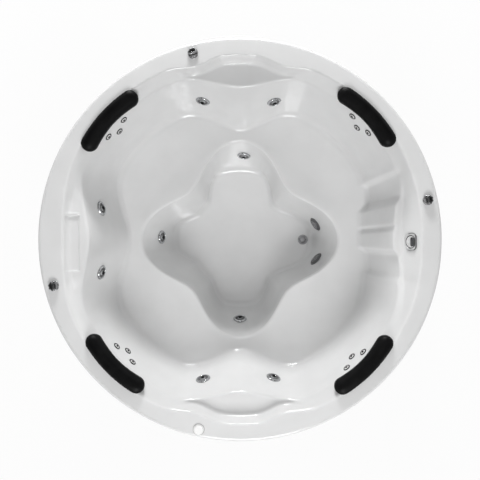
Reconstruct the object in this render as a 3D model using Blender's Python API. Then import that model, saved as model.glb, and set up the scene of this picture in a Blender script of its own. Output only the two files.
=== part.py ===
"""A round drop-in acrylic hot tub, two metres across, built as its separate pieces.

Metres, +Z up, with the origin on the floor under the middle of the tub. A bearing is an angle in
degrees about the tub's axis, from +X towards +Y. The shell is one moulding, and its section is
worked out afresh for every bearing, so every fitting finds its seat on that same section.
"""

import math

import bmesh
import bpy
import numpy as np
from mathutils import Matrix, Vector

# Gaps between pieces
TOUCH_GAP = 0.0003
SLIDE_GAP = 0.0005
NUT_STANDOFF = 0.004
CUTTER_OVERRUN = 0.02

# Shell: overall sizes and the heights of its levels
RIM_RADIUS = 1.000
RIM_HEIGHT = 0.900
SHELL_WALL = 0.010
LIP_DROP = 0.042
FLOOR_HEIGHT = 0.120
SEAT_RISE = 0.350
SEAT_HEIGHT = FLOOR_HEIGHT + SEAT_RISE
SEAT_DISH = 0.014
LEDGE_DROP = 0.070
LEDGE_HEIGHT = RIM_HEIGHT - LEDGE_DROP
LEDGE_FALL = 0.008
BROW_RISE = 0.040
WEST_LEDGE_RISE = 0.045
EAST_LEDGE_DROP = 0.035

# Shell: from the rim inwards, the brow, the ledge, the seat back, the seat and the footwell's wall
RIM_WIDTH = 0.089
BROW_WIDTH = 0.025
LEDGE_WIDTH = 0.030
BACK_LEAN = 0.111
SEAT_WIDTH = 0.290
WELL_LEAN = 0.098
RIM_INNER_RADIUS = RIM_RADIUS - RIM_WIDTH
LEDGE_OUTER_RADIUS = RIM_INNER_RADIUS - BROW_WIDTH
BACK_TOP_RADIUS = LEDGE_OUTER_RADIUS - LEDGE_WIDTH
BACK_FOOT_RADIUS = BACK_TOP_RADIUS - BACK_LEAN
WELL_RADIUS = BACK_FOOT_RADIUS - SEAT_WIDTH
FLOOR_RADIUS = WELL_RADIUS - WELL_LEAN

# Shell: the footwell's floor and its edge are both four-lobed
FLOOR_WAIST = 0.074
# Each lobe of the floor: bearing, rise above the waist, half width, soft edge.
FLOOR_LOBES = {
    "east": (-1.0, 0.130, 26.0, 40.0),
    "north": (90.0, 0.130, 29.5, 30.0),
    "west": (178.2, 0.093, 19.5, 24.0),
    "south": (270.0, 0.099, 25.0, 28.0),
}
WELL_LOBE = 0.079

# Shell: the dividers that stand out between the seats
END_DIVIDER_FOOT = 0.145
END_DIVIDER_TOP = 0.092
WEST_DIVIDER_FOOT = 0.145
WEST_DIVIDER_TOP = 0.105
EAST_STEP_FOOT = 0.080
EAST_STEP_TOP = 0.071
EAST_STEP_LEDGE = 0.066
EAST_RIM_DIP = 0.012
WEST_RIM_DIP = 0.036
WEST_LEDGE_DIP = 0.031
BRACE_DIP = 0.030

# Shell: bearings and spreads of those forms, in degrees
NORTH, WEST, SOUTH, EAST = 90.0, 180.0, 270.0, 0.0
END_FOOT_SPREAD = 26.0
END_TOP_SPREAD = 24.0
WEST_FOOT_SPREAD = 32.0
WEST_TOP_SPREAD = 27.0
WEST_RIM_SPREAD = 29.0
EAST_FOOT_SPREAD = 34.0
EAST_TOP_SPREAD = 28.0
LEDGE_LEVEL_SPREAD = 40.0
BRACE_BEARING = 14.5
BRACE_SPREAD = 10.0

# Shell: the two ribs in the east step, with a hollow beyond each
RIB_PROUD = 0.016
RIB_GROOVE = 0.020
HOLLOW_DEPTH = 0.030
RIB_BEARINGS = (-4.8, 13.8)
HOLLOW_REACH = 9.4
RIB_BLEND = 2.4
BACKING_BLEND = 8.0
GROOVE_SPREAD = 1.8

# Shell: tangent lengths of the fillets, in the order of the corners
FLOOR_FILLET = 0.045
WELL_FILLET = 0.028
DISH_FILLET = 0.060
FOOT_FILLET = 0.085
TOP_FILLET = 0.014
LEDGE_FILLET = 0.012
RIM_FILLET = 0.012
EDGE_FILLET = 0.018
FILLET_MOST_SHARE = 0.45

# Shell: how finely it is divided
COARSE_STEP = 6.0
FINE_STEP = 2.5
FINE_FROM, FINE_TO = -22.5, 32.5
INNER_ROWS = (3, 3, 1, 4, 2, 2, 2, 3)
HIDDEN_ROWS = (3, 1, 1, 4, 1, 1, 0, 0)

# Shell: the shallow tray in the west ledge
TRAY_WIDTH = 0.070
TRAY_LENGTH = 0.275
TRAY_DEPTH = 0.004
TRAY_INSET = 0.178
TRAY_MIDDLE_RADIUS = RIM_RADIUS - TRAY_INSET
TRAY_SHIFT = -0.018
TRAY_CORNER = 0.008

# The corners of the section, by number
FLOOR_EDGE, WELL_EDGE, DISH, BACK_FOOT, BACK_TOP, LEDGE_OUTER, RIM_INNER, RIM_OUTER = range(1, 9)

# Seats: the bearing of each headrest and of the neck jets under it
SEAT_BEARINGS = {"ne": 44.0, "nw": 137.7, "sw": 224.8, "se": 312.8}

# Headrest pillows
PILLOW_LENGTH_SPREAD = 13.0
PILLOW_ON_RIM = 0.027
PILLOW_OVERHANG = 0.069
PILLOW_OUTER_RADIUS = RIM_INNER_RADIUS + PILLOW_ON_RIM
PILLOW_NOSE_RADIUS = RIM_INNER_RADIUS - PILLOW_OVERHANG
PILLOW_CROWN = 0.030
PILLOW_NOSE_DROP = 0.052
PILLOW_CLEARANCE = 0.002
PILLOW_SIDE_ROUND = 0.010
PILLOW_END_SHARE = 0.08
PILLOW_CROWN_SHARES = ((0.12, 0.78), (0.36, 1.00), (0.62, 0.88), (0.86, 0.25))
PILLOW_NOSE_SHARES = ((0.00, 0.45), (0.08, 0.85))
PILLOW_STATION_SHARES = (-1.0, -0.97, -0.88, -0.7, -0.35, 0, 0.35, 0.7, 0.88, 0.97, 1.0)
PILLOW_END_POWER = 5

# Large jets: a bezel that turns in the body and a nozzle that tilts in the bezel
JET_BEZEL_RADIUS = 0.038
JET_BEZEL_HEIGHT = 0.010
JET_BEZEL_EDGE = 0.0045
JET_BEZEL_LAND = 0.034
JET_FACE_RADIUS = 0.0265
JET_DISH_RADIUS = 0.0195
JET_DISH_HEIGHT = 0.0085
JET_LIP_HEIGHT = 0.0060
JET_SLEEVE_RADIUS = 0.0215
JET_SLEEVE_DEPTH = 0.018
JET_BALL_RADIUS = 0.0155
JET_BALL_DROP = 0.002
JET_SPOUT_RADIUS = 0.0090
JET_SPOUT_REACH = 0.018
JET_BORE_RADIUS = 0.0055
JET_BARREL_WALL = 0.0045
JET_BODY_RADIUS = 0.024
JET_BODY_DEPTH = 0.085
JET_WELL_DEPTH = 0.030
JET_PORT_INSET = 0.013
JET_NUT_RADIUS = 0.035
JET_NUT_HEIGHT = 0.010
JET_SEAT_SINK = 0.0015
JET_SIDES = 12
NOZZLE_SIDES = 8
NOZZLE_TAIL_SHARE = 0.93
NOZZLE_RING_BEARINGS = (-65.0, -35.0, 0.0, 30.0)
BACK_JETS = {
    "north_left": (105.0, 0.46),
    "north_right": (76.1, 0.46),
    "south_left": (255.2, 0.49),
    "south_right": (283.6, 0.48),
    "west_upper": (167.4, 0.58),
    "west_lower": (193.3, 0.57),
}
FOOT_JETS = {"north": (87.3, 0.53), "south": (270.0, 0.46), "west": (178.2, 0.45)}

# Neck jets: three in each cluster, the middle one lower than its neighbours
NECK_FACE_RADIUS = 0.019
NECK_FACE_HEIGHT = 0.006
NECK_BARREL_RADIUS = 0.0125
NECK_BARREL_DEPTH = 0.050
NECK_BORE_RADIUS = 0.005
NECK_SPACING = 3.9
NECK_SHARES = {"ne": (0.90, 0.76), "nw": (0.90, 0.76), "sw": (0.79, 0.65), "se": (0.90, 0.76)}
NECK_SHIFTS = {"ne": -0.3, "nw": 0.4, "sw": 0.0, "se": 0.9}
NECK_SIDES = 8
NECK_LAND_SHARE = 0.8
NECK_DISH_SHARE = 0.45
NECK_EDGE_SHARE = 0.5
NECK_MOUTH_SHARE = 0.33

# Suction covers on the flanks of the east lobe
SUCTION_SPOTS = {"north": (11.7, 0.36), "south": (-14.6, 0.48)}
SUCTION_RADIUS = 0.042
SUCTION_DOME = 0.012
SUCTION_RIM = 0.004
SUCTION_SPIGOT = 0.020
SUCTION_SLOT_WIDTH = 0.004
SUCTION_SLOT_PITCH = 0.011
SUCTION_SLOT_DEPTH = 0.008
SUCTION_SLOTS = 5
SUCTION_SLOT_REACH_SHARE = 0.8
SUCTION_CROWN_SHARES = ((0.75, 0.80), (0.35, 1.00))
SUCTION_BODY_DEPTH = 0.070

# Waste in the floor, with a plug that lifts
WASTE_SHIFT = 0.010
WASTE_RADIUS_OUT = FLOOR_RADIUS + WASTE_SHIFT
WASTE_FLANGE_RADIUS = 0.029
WASTE_FLANGE_HEIGHT = 0.003
WASTE_THROAT_RADIUS = 0.018
WASTE_BARREL_RADIUS = 0.0235
WASTE_BARREL_DEPTH = 0.048
PLUG_RADIUS = 0.021
PLUG_HEIGHT = 0.007
PLUG_STEM_RADIUS = 0.006
PLUG_STEM_LENGTH = 0.030
PLUG_CROWN_SHARE = 0.7

# Overflow cover on the east riser, with the knob that works the plug
OVERFLOW_BEARING = -0.8
OVERFLOW_SHARE = 0.47
OVERFLOW_RADIUS = 0.042
OVERFLOW_HEIGHT = 0.009
OVERFLOW_KNOB_RADIUS = 0.029
OVERFLOW_KNOB_HEIGHT = 0.017
OVERFLOW_MOUTH_RADIUS = 0.033
OVERFLOW_SPINDLE_RADIUS = 0.006
OVERFLOW_BARREL_RADIUS = 0.025
OVERFLOW_BARREL_DEPTH = 0.040
OVERFLOW_GRIP_WIDTH = 0.012
OVERFLOW_EDGE_SHARES = ((0.0, 0.50), (0.33, 1.00))
OVERFLOW_FLOOR_SHARE = 0.25
OVERFLOW_CROWN_SHARES = ((1.00, 0.50), (0.80, 0.65))
OVERFLOW_GRIP_SHARES = (1.4, 0.5, 0.75)
OVERFLOW_SPINDLE_SHARE = 0.5

# Air controls on the rim
AIR_CONTROL_BEARINGS = {"north": 104.2, "east": 11.9, "west": 194.0}
AIR_CONTROL_INSET = 0.052
AIR_CONTROL_RADIUS_OUT = RIM_RADIUS - AIR_CONTROL_INSET
AIR_KNOB_RADIUS = 0.026
AIR_KNOB_HEIGHT = 0.022
AIR_KNOB_WAIST = 0.021
AIR_KNOB_STEM_RADIUS = 0.010
AIR_KNOB_STEM_LENGTH = 0.024
AIR_VALVE_RADIUS = 0.017
AIR_VALVE_LENGTH = 0.070
AIR_KNOB_FLUTES = 16
AIR_KNOB_SKIRT_SHARE = 0.15
AIR_KNOB_WAIST_SHARES = (0.25, 0.85)
AIR_KNOB_CROWN_SHARE = 0.8
AIR_KNOB_BAR_SHARES = (2.0, 0.3, 0.4)
AIR_VALVE_WELL_SHARE = 1.25

# Push button on the rim
BUTTON_BEARING = 257.7
BUTTON_INSET = 0.040
BUTTON_RADIUS_OUT = RIM_RADIUS - BUTTON_INSET
BUTTON_BEZEL_RADIUS = 0.029
BUTTON_BEZEL_HEIGHT = 0.006
BUTTON_CAP_RADIUS = 0.023
BUTTON_CAP_HEIGHT = 0.012
BUTTON_TRAVEL = 0.004
BUTTON_BARREL_RADIUS = 0.017
BUTTON_BARREL_LENGTH = 0.050
BUTTON_CUP_DEPTH = 0.016
BUTTON_PLUNGER_RADIUS = 0.011
BUTTON_EDGE_SHARE = 0.6
BUTTON_LAND_SHARE = 0.5
BUTTON_FLOOR_SHARE = 0.167
BUTTON_CROWN_SHARES = ((1.0, 0.7), (0.8, 1.0))
BUTTON_DISH_SHARE = 0.3

# Support frame of square steel tube
FRAME_TUBE = 0.030
POST_INSET = 0.047
POST_RADIUS_OUT = RIM_RADIUS - POST_INSET
POST_COUNT = 6
POST_FIRST_BEARING = 30.0
POST_PAD_WIDTH = 0.080
POST_PAD_DEPTH = 0.044
POST_PAD_HEIGHT = 0.006
TUBE_STEP = 0.001
PUMP_CHORD_INSET = 0.413
PUMP_CHORD_RADIUS = POST_RADIUS_OUT - PUMP_CHORD_INSET
PUMP_SHELF_HEIGHT = 0.004
PUMP_SHELF_LENGTH = 0.400
BEARER_SHIFT = 0.160

# Levelling feet
FOOT_PAD_RADIUS = 0.032
FOOT_PAD_HEIGHT = 0.010
FOOT_STUD_RADIUS = 0.008
FOOT_NUT_RADIUS = 0.015
FOOT_NUT_HEIGHT = 0.012
FOOT_SIDES = 8
FOOT_PAD_EDGE_SHARE = 0.6

# Water main: an eight-sided ring under the seats
WATER_RING_INSET = 0.120
WATER_RING_DROP = 0.075
WATER_RING_RADIUS = RIM_RADIUS - WATER_RING_INSET
WATER_RING_HEIGHT = SEAT_HEIGHT - WATER_RING_DROP
WATER_PIPE_RADIUS = 0.025
WATER_BRANCH_RADIUS = 0.016
NECK_MANIFOLD_SETBACK = 0.030
NECK_MANIFOLD_RADIUS = 0.014
NECK_MANIFOLD_LENGTH = 0.170
NECK_STUB_RADIUS = 0.0125

# Air main: a smaller ring above it
AIR_RING_INSET = 0.080
AIR_RING_RISE = 0.035
AIR_RING_RADIUS = RIM_RADIUS - AIR_RING_INSET
AIR_RING_HEIGHT = SEAT_HEIGHT + AIR_RING_RISE
AIR_PIPE_RADIUS = 0.016
AIR_BRANCH_RADIUS = 0.011
AIR_PORT_RADIUS = 0.014
AIR_PORT_LENGTH = 0.045
AIR_PORT_SHIFT = 0.050
RISER_CLEARANCE = 0.010
AIR_RUN_DROP = 0.034
AIR_RUN_HEIGHT = SEAT_HEIGHT - AIR_RUN_DROP

# Pump under the south-east seat
PUMP_BEARING = 300.0
PUMP_INSET = 0.288
PUMP_RADIUS_OUT = POST_RADIUS_OUT - PUMP_INSET
PUMP_AXIS_RISE = 0.095
PUMP_SHIFT = 0.090
PUMP_VOLUTE_RADIUS = 0.085
PUMP_VOLUTE_LENGTH = 0.075
PUMP_PORT_RADIUS = 0.030
PUMP_PORT_LENGTH = 0.045
PUMP_OUTLET_HEIGHT = 0.110
PUMP_FLANGE_LENGTH = 0.012
PUMP_FACE_SHARES = (-0.4, 0.6)
PUMP_COVER_SHARE = 0.75
MOTOR_RADIUS = 0.068
MOTOR_LENGTH = 0.190
MOTOR_FAN_LENGTH = 0.035
MOTOR_BOX_SIZE = (0.085, 0.080, 0.045)
MOTOR_FOOT_SIZE = (0.110, 0.120, 0.012)
MOTOR_GLAND_RADIUS = 0.009
MOTOR_GLAND_LENGTH = 0.018
MOTOR_FAN_SHARE = 1.05
MOTOR_FLANGE_SHARE = 1.1
MOTOR_STAND_SHARES = (0.8, 0.6)
MOTOR_BOX_SHARE = 0.333
PUMP_SIDES = 16

# Suction and waste pipes
SUCTION_PIPE_RADIUS = 0.022
SUCTION_BEND_SETBACK = 0.145
SUCTION_BEND_RADIUS_OUT = WELL_RADIUS + SUCTION_BEND_SETBACK
SUCTION_PIPE_HEIGHT = 0.215
WASTE_PIPE_RADIUS = 0.019
WASTE_PIPE_HEIGHT = 0.030
OVERFLOW_PIPE_INSET = 0.062
WASTE_OUTLET_INSET = 0.015
OVERFLOW_PIPE_RADIUS_OUT = RIM_RADIUS - OVERFLOW_PIPE_INSET
WASTE_OUTLET_RADIUS_OUT = RIM_RADIUS - WASTE_OUTLET_INSET
WASTE_OUTLET_BORE = 0.015
PIPE_SIDES = 8
THIN_PIPE_SIDES = 6
THIN_PIPE_RADIUS = 0.0165


def make_material(name, colour, roughness, metallic=0.0, coat=0.0):
    """A Principled material of one colour."""
    material = bpy.data.materials.new(name)
    material.use_nodes = True
    shader = material.node_tree.nodes["Principled BSDF"]
    shader.inputs["Base Color"].default_value = (*colour, 1.0)
    shader.inputs["Roughness"].default_value = roughness
    shader.inputs["Metallic"].default_value = metallic
    shader.inputs["Coat Weight"].default_value = coat
    material.diffuse_color = (*colour, 1.0)
    return material


def clear_scene():
    for thing in list(bpy.data.objects):
        bpy.data.objects.remove(thing, do_unlink=True)


def mesh_object(name, points, faces, material, place=None):
    """A closed mesh as an object, with its faces turned outwards and its round sides smooth."""
    mesh = bpy.data.meshes.new(name)
    mesh.from_pydata([tuple(point) for point in points], [], faces)
    shape = bmesh.new()
    shape.from_mesh(mesh)
    bmesh.ops.recalc_face_normals(shape, faces=shape.faces)
    if shape.calc_volume(signed=True) < 0:
        bmesh.ops.reverse_faces(shape, faces=shape.faces)
    shape.to_mesh(mesh)
    shape.free()
    mesh.shade_smooth()
    mesh.set_sharp_from_angle(angle=math.radians(35))
    if material:
        mesh.materials.append(material)
    thing = bpy.data.objects.new(name, mesh)
    bpy.context.scene.collection.objects.link(thing)
    if place:
        thing.matrix_world = place
    return thing


def as_helper(thing):
    """A cutter or a piece that is fused into another stays out of the picture."""
    thing.hide_render = True
    thing.display_type = "WIRE"
    return thing


def add_boolean(target, helper, operation):
    modifier = target.modifiers.new(helper.name, "BOOLEAN")
    modifier.operation = operation
    modifier.solver = "EXACT"
    modifier.object = as_helper(helper)


def cut(target, *cutters):
    for cutter in cutters:
        add_boolean(target, cutter, "DIFFERENCE")
    return target


def fuse(target, *pieces):
    for piece in pieces:
        add_boolean(target, piece, "UNION")
    return target


def turned(profile, sides):
    """Points and faces of a closed outline of (radius, height) pairs turned about Z."""
    points, rings, faces = [], [], []
    for radius, height in profile:
        if radius == 0:
            rings.append([len(points)] * sides)
            points.append((0, 0, height))
            continue
        rings.append(list(range(len(points), len(points) + sides)))
        for side in range(sides):
            angle = 2 * math.pi * (side + 0.5) / sides
            points.append((radius * math.cos(angle), radius * math.sin(angle), height))
    for ring, after in zip(rings, rings[1:] + rings[:1]):
        for side in range(sides):
            beyond = (side + 1) % sides
            corners = [ring[side], ring[beyond], after[beyond], after[side]]
            face = list(dict.fromkeys(corners))
            if len(face) > 2:
                faces.append(face)
    return points, faces


def turned_piece(name, profile, sides, material, place=None):
    return mesh_object(name, *turned(profile, sides), material, place)


def solid_profile(*steps):
    """An outline for a solid piece: the given (radius, height) pairs, closed on the axis."""
    return [(0, steps[0][1]), *steps, (0, steps[-1][1])]


def facing(origin, axis, across=None):
    """A placement whose Z is the axis and whose X is as near as can be to the across direction."""
    up = Vector(axis).normalized()
    across = Vector(across) if across else Vector((1, 0, 0)).cross(up)
    if across.length < 0.1:
        across = Vector((0, 1, 0)).cross(up)
    side = (across - up * across.dot(up)).normalized()
    turn = Matrix((side, up.cross(side), up)).transposed()
    return Matrix.Translation(origin) @ turn.to_4x4()


def pipe_sides(radius):
    return PIPE_SIDES if radius > THIN_PIPE_RADIUS else THIN_PIPE_SIDES


def rod(name, start, end, radius, material):
    """A straight round bar between two points."""
    start, end = Vector(start), Vector(end)
    length = (end - start).length
    profile = solid_profile((radius, 0), (radius, length))
    return turned_piece(name, profile, pipe_sides(radius), material, facing(start, end - start))


def block(name, size, place, material):
    """A box of the given size about the placement's origin."""
    half = Vector(size) / 2
    points = [(x, y, z) for x in (-half.x, half.x) for y in (-half.y, half.y) for z in (-half.z, half.z)]
    faces = [(0, 1, 3, 2), (4, 6, 7, 5), (0, 4, 5, 1), (2, 3, 7, 6), (0, 2, 6, 4), (1, 5, 7, 3)]
    return mesh_object(name, points, faces, material, place)


def pipe(name, route, radius, material, closed=False, square=False):
    """A pipe along straight runs that meet in mitres. A closed route makes a ring."""
    sides = 4 if square else pipe_sides(radius)
    route = [Vector(point) for point in route]
    count = len(route)
    runs = [(route[(k + 1) % count] - route[k]).normalized() for k in range(count if closed else count - 1)]
    first = runs[-1] if closed else runs[0]
    side = first.cross(Vector((0, 0, 1)))
    if side.length < 0.1:
        side = first.cross(Vector((1, 0, 0)))
    side.normalize()
    points, faces = [], []
    for k, place in enumerate(route):
        before = runs[k - 1] if closed or k else runs[0]
        after = runs[k] if k < len(runs) else runs[-1]
        normal = (before + after).normalized()
        up = before.cross(side)
        for corner in range(sides):
            angle = 2 * math.pi * (corner + 0.5) / sides
            ray = side * math.cos(angle) + up * math.sin(angle)
            slide = -ray.dot(normal) / before.dot(normal)
            points.append(place + (ray + before * slide) * radius)
        side = before.rotation_difference(after) @ side
    for k in range(count if closed else count - 1):
        low, high = k * sides, ((k + 1) % count) * sides
        for corner in range(sides):
            beyond = (corner + 1) % sides
            faces.append((low + corner, low + beyond, high + beyond, high + corner))
    if not closed:
        faces.append(tuple(range(sides)))
        faces.append(tuple(range(len(points) - sides, len(points))))
    return mesh_object(name, points, faces, material)


def polar(radius, bearing, height):
    angle = math.radians(bearing)
    return Vector((radius * math.cos(angle), radius * math.sin(angle), height))


def outward(bearing):
    return polar(1, bearing, 0)


def sideways(bearing):
    return polar(1, bearing + 90, 0)


def bump(bearings, centre, spread):
    """A raised cosine: 1 at the centre and 0 from the spread outwards."""
    away = np.abs((bearings - centre + 180) % 360 - 180)
    return 0.5 + 0.5 * np.cos(np.pi * np.minimum(away / spread, 1))


def petal(bearings, centre, half_width, blend):
    """1 within the half width of the centre and 0 beyond it, with a soft edge."""
    away = np.abs((bearings - centre + 180) % 360 - 180)
    share = np.clip((half_width - away) / blend + 0.5, 0, 1)
    return share * share * (3 - 2 * share)


def plateau(bearings, low, high, blend):
    """1 between two bearings and 0 outside them, with soft edges as wide as the blend."""
    turned_to_east = (bearings + 180) % 360 - 180
    rise = np.clip((turned_to_east - low) / blend + 0.5, 0, 1)
    fall = np.clip((high - turned_to_east) / blend + 0.5, 0, 1)
    share = np.minimum(rise, fall)
    return share * share * (3 - 2 * share)


def east_ribs(bearings):
    """How far the east wall's foot moves inwards: out on the ribs, back in the groove and hollows."""
    low, high = RIB_BEARINGS
    ribs = plateau(bearings, low, high, RIB_BLEND)
    groove = bump(bearings, (low + high) / 2, GROOVE_SPREAD)
    hollows = plateau(bearings, low - HOLLOW_REACH, low, RIB_BLEND)
    hollows = hollows + plateau(bearings, high, high + HOLLOW_REACH, RIB_BLEND)
    return RIB_PROUD * ribs - RIB_GROOVE * groove - HOLLOW_DEPTH * hollows


def east_backing(bearings):
    """The hidden side behind the ribs is one smooth bulge that clears the hollows."""
    low, high = RIB_BEARINGS
    reach = HOLLOW_REACH + BACKING_BLEND / 2
    return -HOLLOW_DEPTH * plateau(bearings, low - reach, high + reach, BACKING_BLEND)


def shell_corners(bearings, ribs=east_ribs):
    """Radius and height of each corner of the inner section, from the middle to the lip."""
    level = np.ones_like(bearings)
    lobes = np.cos(np.radians(4 * bearings))
    ends_foot = bump(bearings, NORTH, END_FOOT_SPREAD) + bump(bearings, SOUTH, END_FOOT_SPREAD)
    ends_top = bump(bearings, NORTH, END_TOP_SPREAD) + bump(bearings, SOUTH, END_TOP_SPREAD)
    west_foot = bump(bearings, WEST, WEST_FOOT_SPREAD)
    west_top = bump(bearings, WEST, WEST_TOP_SPREAD)
    west_rim = bump(bearings, WEST, WEST_RIM_SPREAD)
    east_foot = bump(bearings, EAST, EAST_FOOT_SPREAD)
    east_top = bump(bearings, EAST, EAST_TOP_SPREAD)
    brace = sum(
        bump(bearings, end + shift, BRACE_SPREAD)
        for end in (NORTH, SOUTH)
        for shift in (-BRACE_BEARING, BRACE_BEARING)
    )
    petals = sum(
        rise * petal(bearings, centre, half_width, blend)
        for centre, rise, half_width, blend in FLOOR_LOBES.values()
    )
    floor = FLOOR_RADIUS - FLOOR_WAIST + petals
    well = WELL_RADIUS + WELL_LOBE * lobes
    foot = BACK_FOOT_RADIUS - END_DIVIDER_FOOT * ends_foot - WEST_DIVIDER_FOOT * west_foot
    foot = foot - EAST_STEP_FOOT * east_foot - ribs(bearings)
    top = BACK_TOP_RADIUS - END_DIVIDER_TOP * ends_top - WEST_DIVIDER_TOP * west_top
    top = top - EAST_STEP_TOP * east_top
    ledge = LEDGE_OUTER_RADIUS - BRACE_DIP * brace - WEST_LEDGE_DIP * west_rim
    ledge = ledge - EAST_STEP_LEDGE * east_top
    rim = RIM_INNER_RADIUS - BRACE_DIP * brace - WEST_RIM_DIP * west_rim - EAST_RIM_DIP * east_top
    shelf = np.minimum(1, 2 * (ends_top + west_top + east_top))
    ledge_level = LEDGE_HEIGHT + WEST_LEDGE_RISE * bump(bearings, WEST, LEDGE_LEVEL_SPREAD)
    ledge_level = ledge_level - EAST_LEDGE_DROP * bump(bearings, EAST, LEDGE_LEVEL_SPREAD)
    brow_level = ledge_level - LEDGE_FALL * ends_top + BROW_RISE * (1 - shelf)
    radii = [0 * level, floor, well, (well + foot) / 2, foot, top, ledge, rim]
    radii += [RIM_RADIUS * level, RIM_RADIUS * level]
    heights = [FLOOR_HEIGHT * level, FLOOR_HEIGHT * level, SEAT_HEIGHT * level]
    heights += [SEAT_HEIGHT - SEAT_DISH * (1 - lobes) / 2, SEAT_HEIGHT * level, ledge_level]
    heights += [brow_level, RIM_HEIGHT * level, RIM_HEIGHT * level, (RIM_HEIGHT - LIP_DROP) * level]
    return np.array(radii), np.array(heights)


def hidden_corners(radii, heights):
    """The same corners moved out by the wall: each run is shifted square to itself."""
    along_r, along_z = np.diff(radii, axis=0), np.diff(heights, axis=0)
    length = np.hypot(along_r, along_z)
    normal_r, normal_z = along_z / length, -along_r / length
    moved_r, moved_z = radii.copy(), heights.copy()
    moved_z[0] -= SHELL_WALL
    moved_r[-1] -= SHELL_WALL
    facing_share = 1 + normal_r[1:] * normal_r[:-1] + normal_z[1:] * normal_z[:-1]
    moved_r[1:-1] += SHELL_WALL * (normal_r[1:] + normal_r[:-1]) / facing_share
    moved_z[1:-1] += SHELL_WALL * (normal_z[1:] + normal_z[:-1]) / facing_share
    return moved_r, moved_z


def rounded_rows(radii, heights, counts):
    """Rows of points down the section. A parabolic curve takes the place of each corner.

    A corner with a count of 0 stays sharp.
    """
    fillets = (FLOOR_FILLET, WELL_FILLET, DISH_FILLET, FOOT_FILLET)
    fillets += (TOP_FILLET, LEDGE_FILLET, RIM_FILLET, EDGE_FILLET)
    rows = []
    for corner, (fillet, count) in enumerate(zip(fillets, counts), start=1):
        here = np.array([radii[corner], heights[corner]])
        if count == 0:
            rows.append(here)
            continue
        ends = []
        for other in (corner - 1, corner + 1):
            run = np.array([radii[other], heights[other]]) - here
            length = np.hypot(*run)
            ends.append(here + run / length * np.minimum(fillet, FILLET_MOST_SHARE * length))
        shares = np.linspace(0, 1, count) if count > 1 else [0.5]
        for t in shares:
            rows.append((1 - t) ** 2 * ends[0] + 2 * t * (1 - t) * here + t * t * ends[1])
    return rows


def shell_bearings():
    """Columns round the shell, closer together across the ribs of the east step."""
    fine = np.arange(FINE_FROM, FINE_TO, FINE_STEP)
    coarse_count = round((360 - (FINE_TO - FINE_FROM)) / COARSE_STEP)
    coarse = FINE_TO + (FINE_FROM + 360 - FINE_TO) * np.arange(coarse_count) / coarse_count
    return np.concatenate([fine, coarse])


def shell_blank(name, material):
    """The moulding before its holes: inner rows out to the lip, then hidden rows back again."""
    bearings = shell_bearings()
    radii, heights = shell_corners(bearings)
    rows = rounded_rows(radii, heights, INNER_ROWS)
    rows.append(np.array([radii[-1], heights[-1]]))
    out_radii, out_heights = hidden_corners(*shell_corners(bearings, east_backing))
    rows.append(np.array([out_radii[-1], out_heights[-1]]))
    rows += rounded_rows(out_radii, out_heights, HIDDEN_ROWS)[::-1]
    columns = len(bearings)
    angles = np.radians(bearings)
    points = [(0, 0, FLOOR_HEIGHT)]
    for radius, height in rows:
        points += list(zip(radius * np.cos(angles), radius * np.sin(angles), height))
    points.append((0, 0, FLOOR_HEIGHT - SHELL_WALL))
    faces = []
    for column in range(columns):
        beyond = (column + 1) % columns
        faces.append((0, 1 + column, 1 + beyond))
        for row in range(len(rows) - 1):
            low, high = 1 + row * columns, 1 + (row + 1) * columns
            faces.append((low + column, high + column, high + beyond, low + beyond))
        last = 1 + (len(rows) - 1) * columns
        faces.append((last + column, len(points) - 1, last + beyond))
    return mesh_object(name, points, faces, material)


def wall_point(bearing, low, share):
    """A point on the straight run from one corner of the section to the next."""
    radii, heights = shell_corners(np.array([float(bearing)]))
    radius = radii[low, 0] + share * (radii[low + 1, 0] - radii[low, 0])
    height = heights[low, 0] + share * (heights[low + 1, 0] - heights[low, 0])
    return polar(radius, bearing, height)


def wall_place(bearing, low, share, sink):
    """A fitting's seat on a wall: Z points into the tub, X runs level along the wall."""
    around = wall_point(bearing + 0.5, low, share) - wall_point(bearing - 0.5, low, share)
    upward = wall_point(bearing, low, share + 0.05) - wall_point(bearing, low, share - 0.05)
    normal = around.cross(upward).normalized()
    if normal.dot(outward(bearing)) > 0:
        normal = -normal
    return facing(wall_point(bearing, low, share) - normal * sink, normal, around)


def jet_places():
    """The seat of every large jet, by name."""
    places = {}
    for name, (bearing, share) in BACK_JETS.items():
        places["back_jet_" + name] = wall_place(bearing, BACK_FOOT, share, JET_SEAT_SINK)
    for name, (bearing, share) in FOOT_JETS.items():
        places["foot_jet_" + name] = wall_place(bearing, FLOOR_EDGE, share, -JET_SEAT_SINK)
    return places


def neck_places():
    """The seat of every neck jet, by name: the middle one of a cluster sits lower than its neighbours."""
    places = {}
    for seat, bearing in SEAT_BEARINGS.items():
        for number, shift in enumerate((-1, 0, 1), start=1):
            outer_share, middle_share = NECK_SHARES[seat]
            share = outer_share if shift else middle_share
            turned_to = bearing + NECK_SHIFTS[seat] + shift * NECK_SPACING
            place = wall_place(turned_to, BACK_FOOT, share, JET_SEAT_SINK)
            places[f"neck_jet_{seat}_{number}"] = place
    return places


def suction_places():
    return {
        name: wall_place(bearing, FLOOR_EDGE, share, -JET_SEAT_SINK)
        for name, (bearing, share) in SUCTION_SPOTS.items()
    }


def overflow_place():
    return wall_place(OVERFLOW_BEARING, LEDGE_OUTER, OVERFLOW_SHARE, JET_SEAT_SINK)


def rim_place(radius, bearing):
    return facing(polar(radius, bearing, RIM_HEIGHT), (0, 0, 1), sideways(bearing))


def clear_radius(radius, sides):
    """Corner radius of a many-sided hole in which a round piece of this radius can turn."""
    return (radius + SLIDE_GAP) / math.cos(math.pi / sides)


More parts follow.
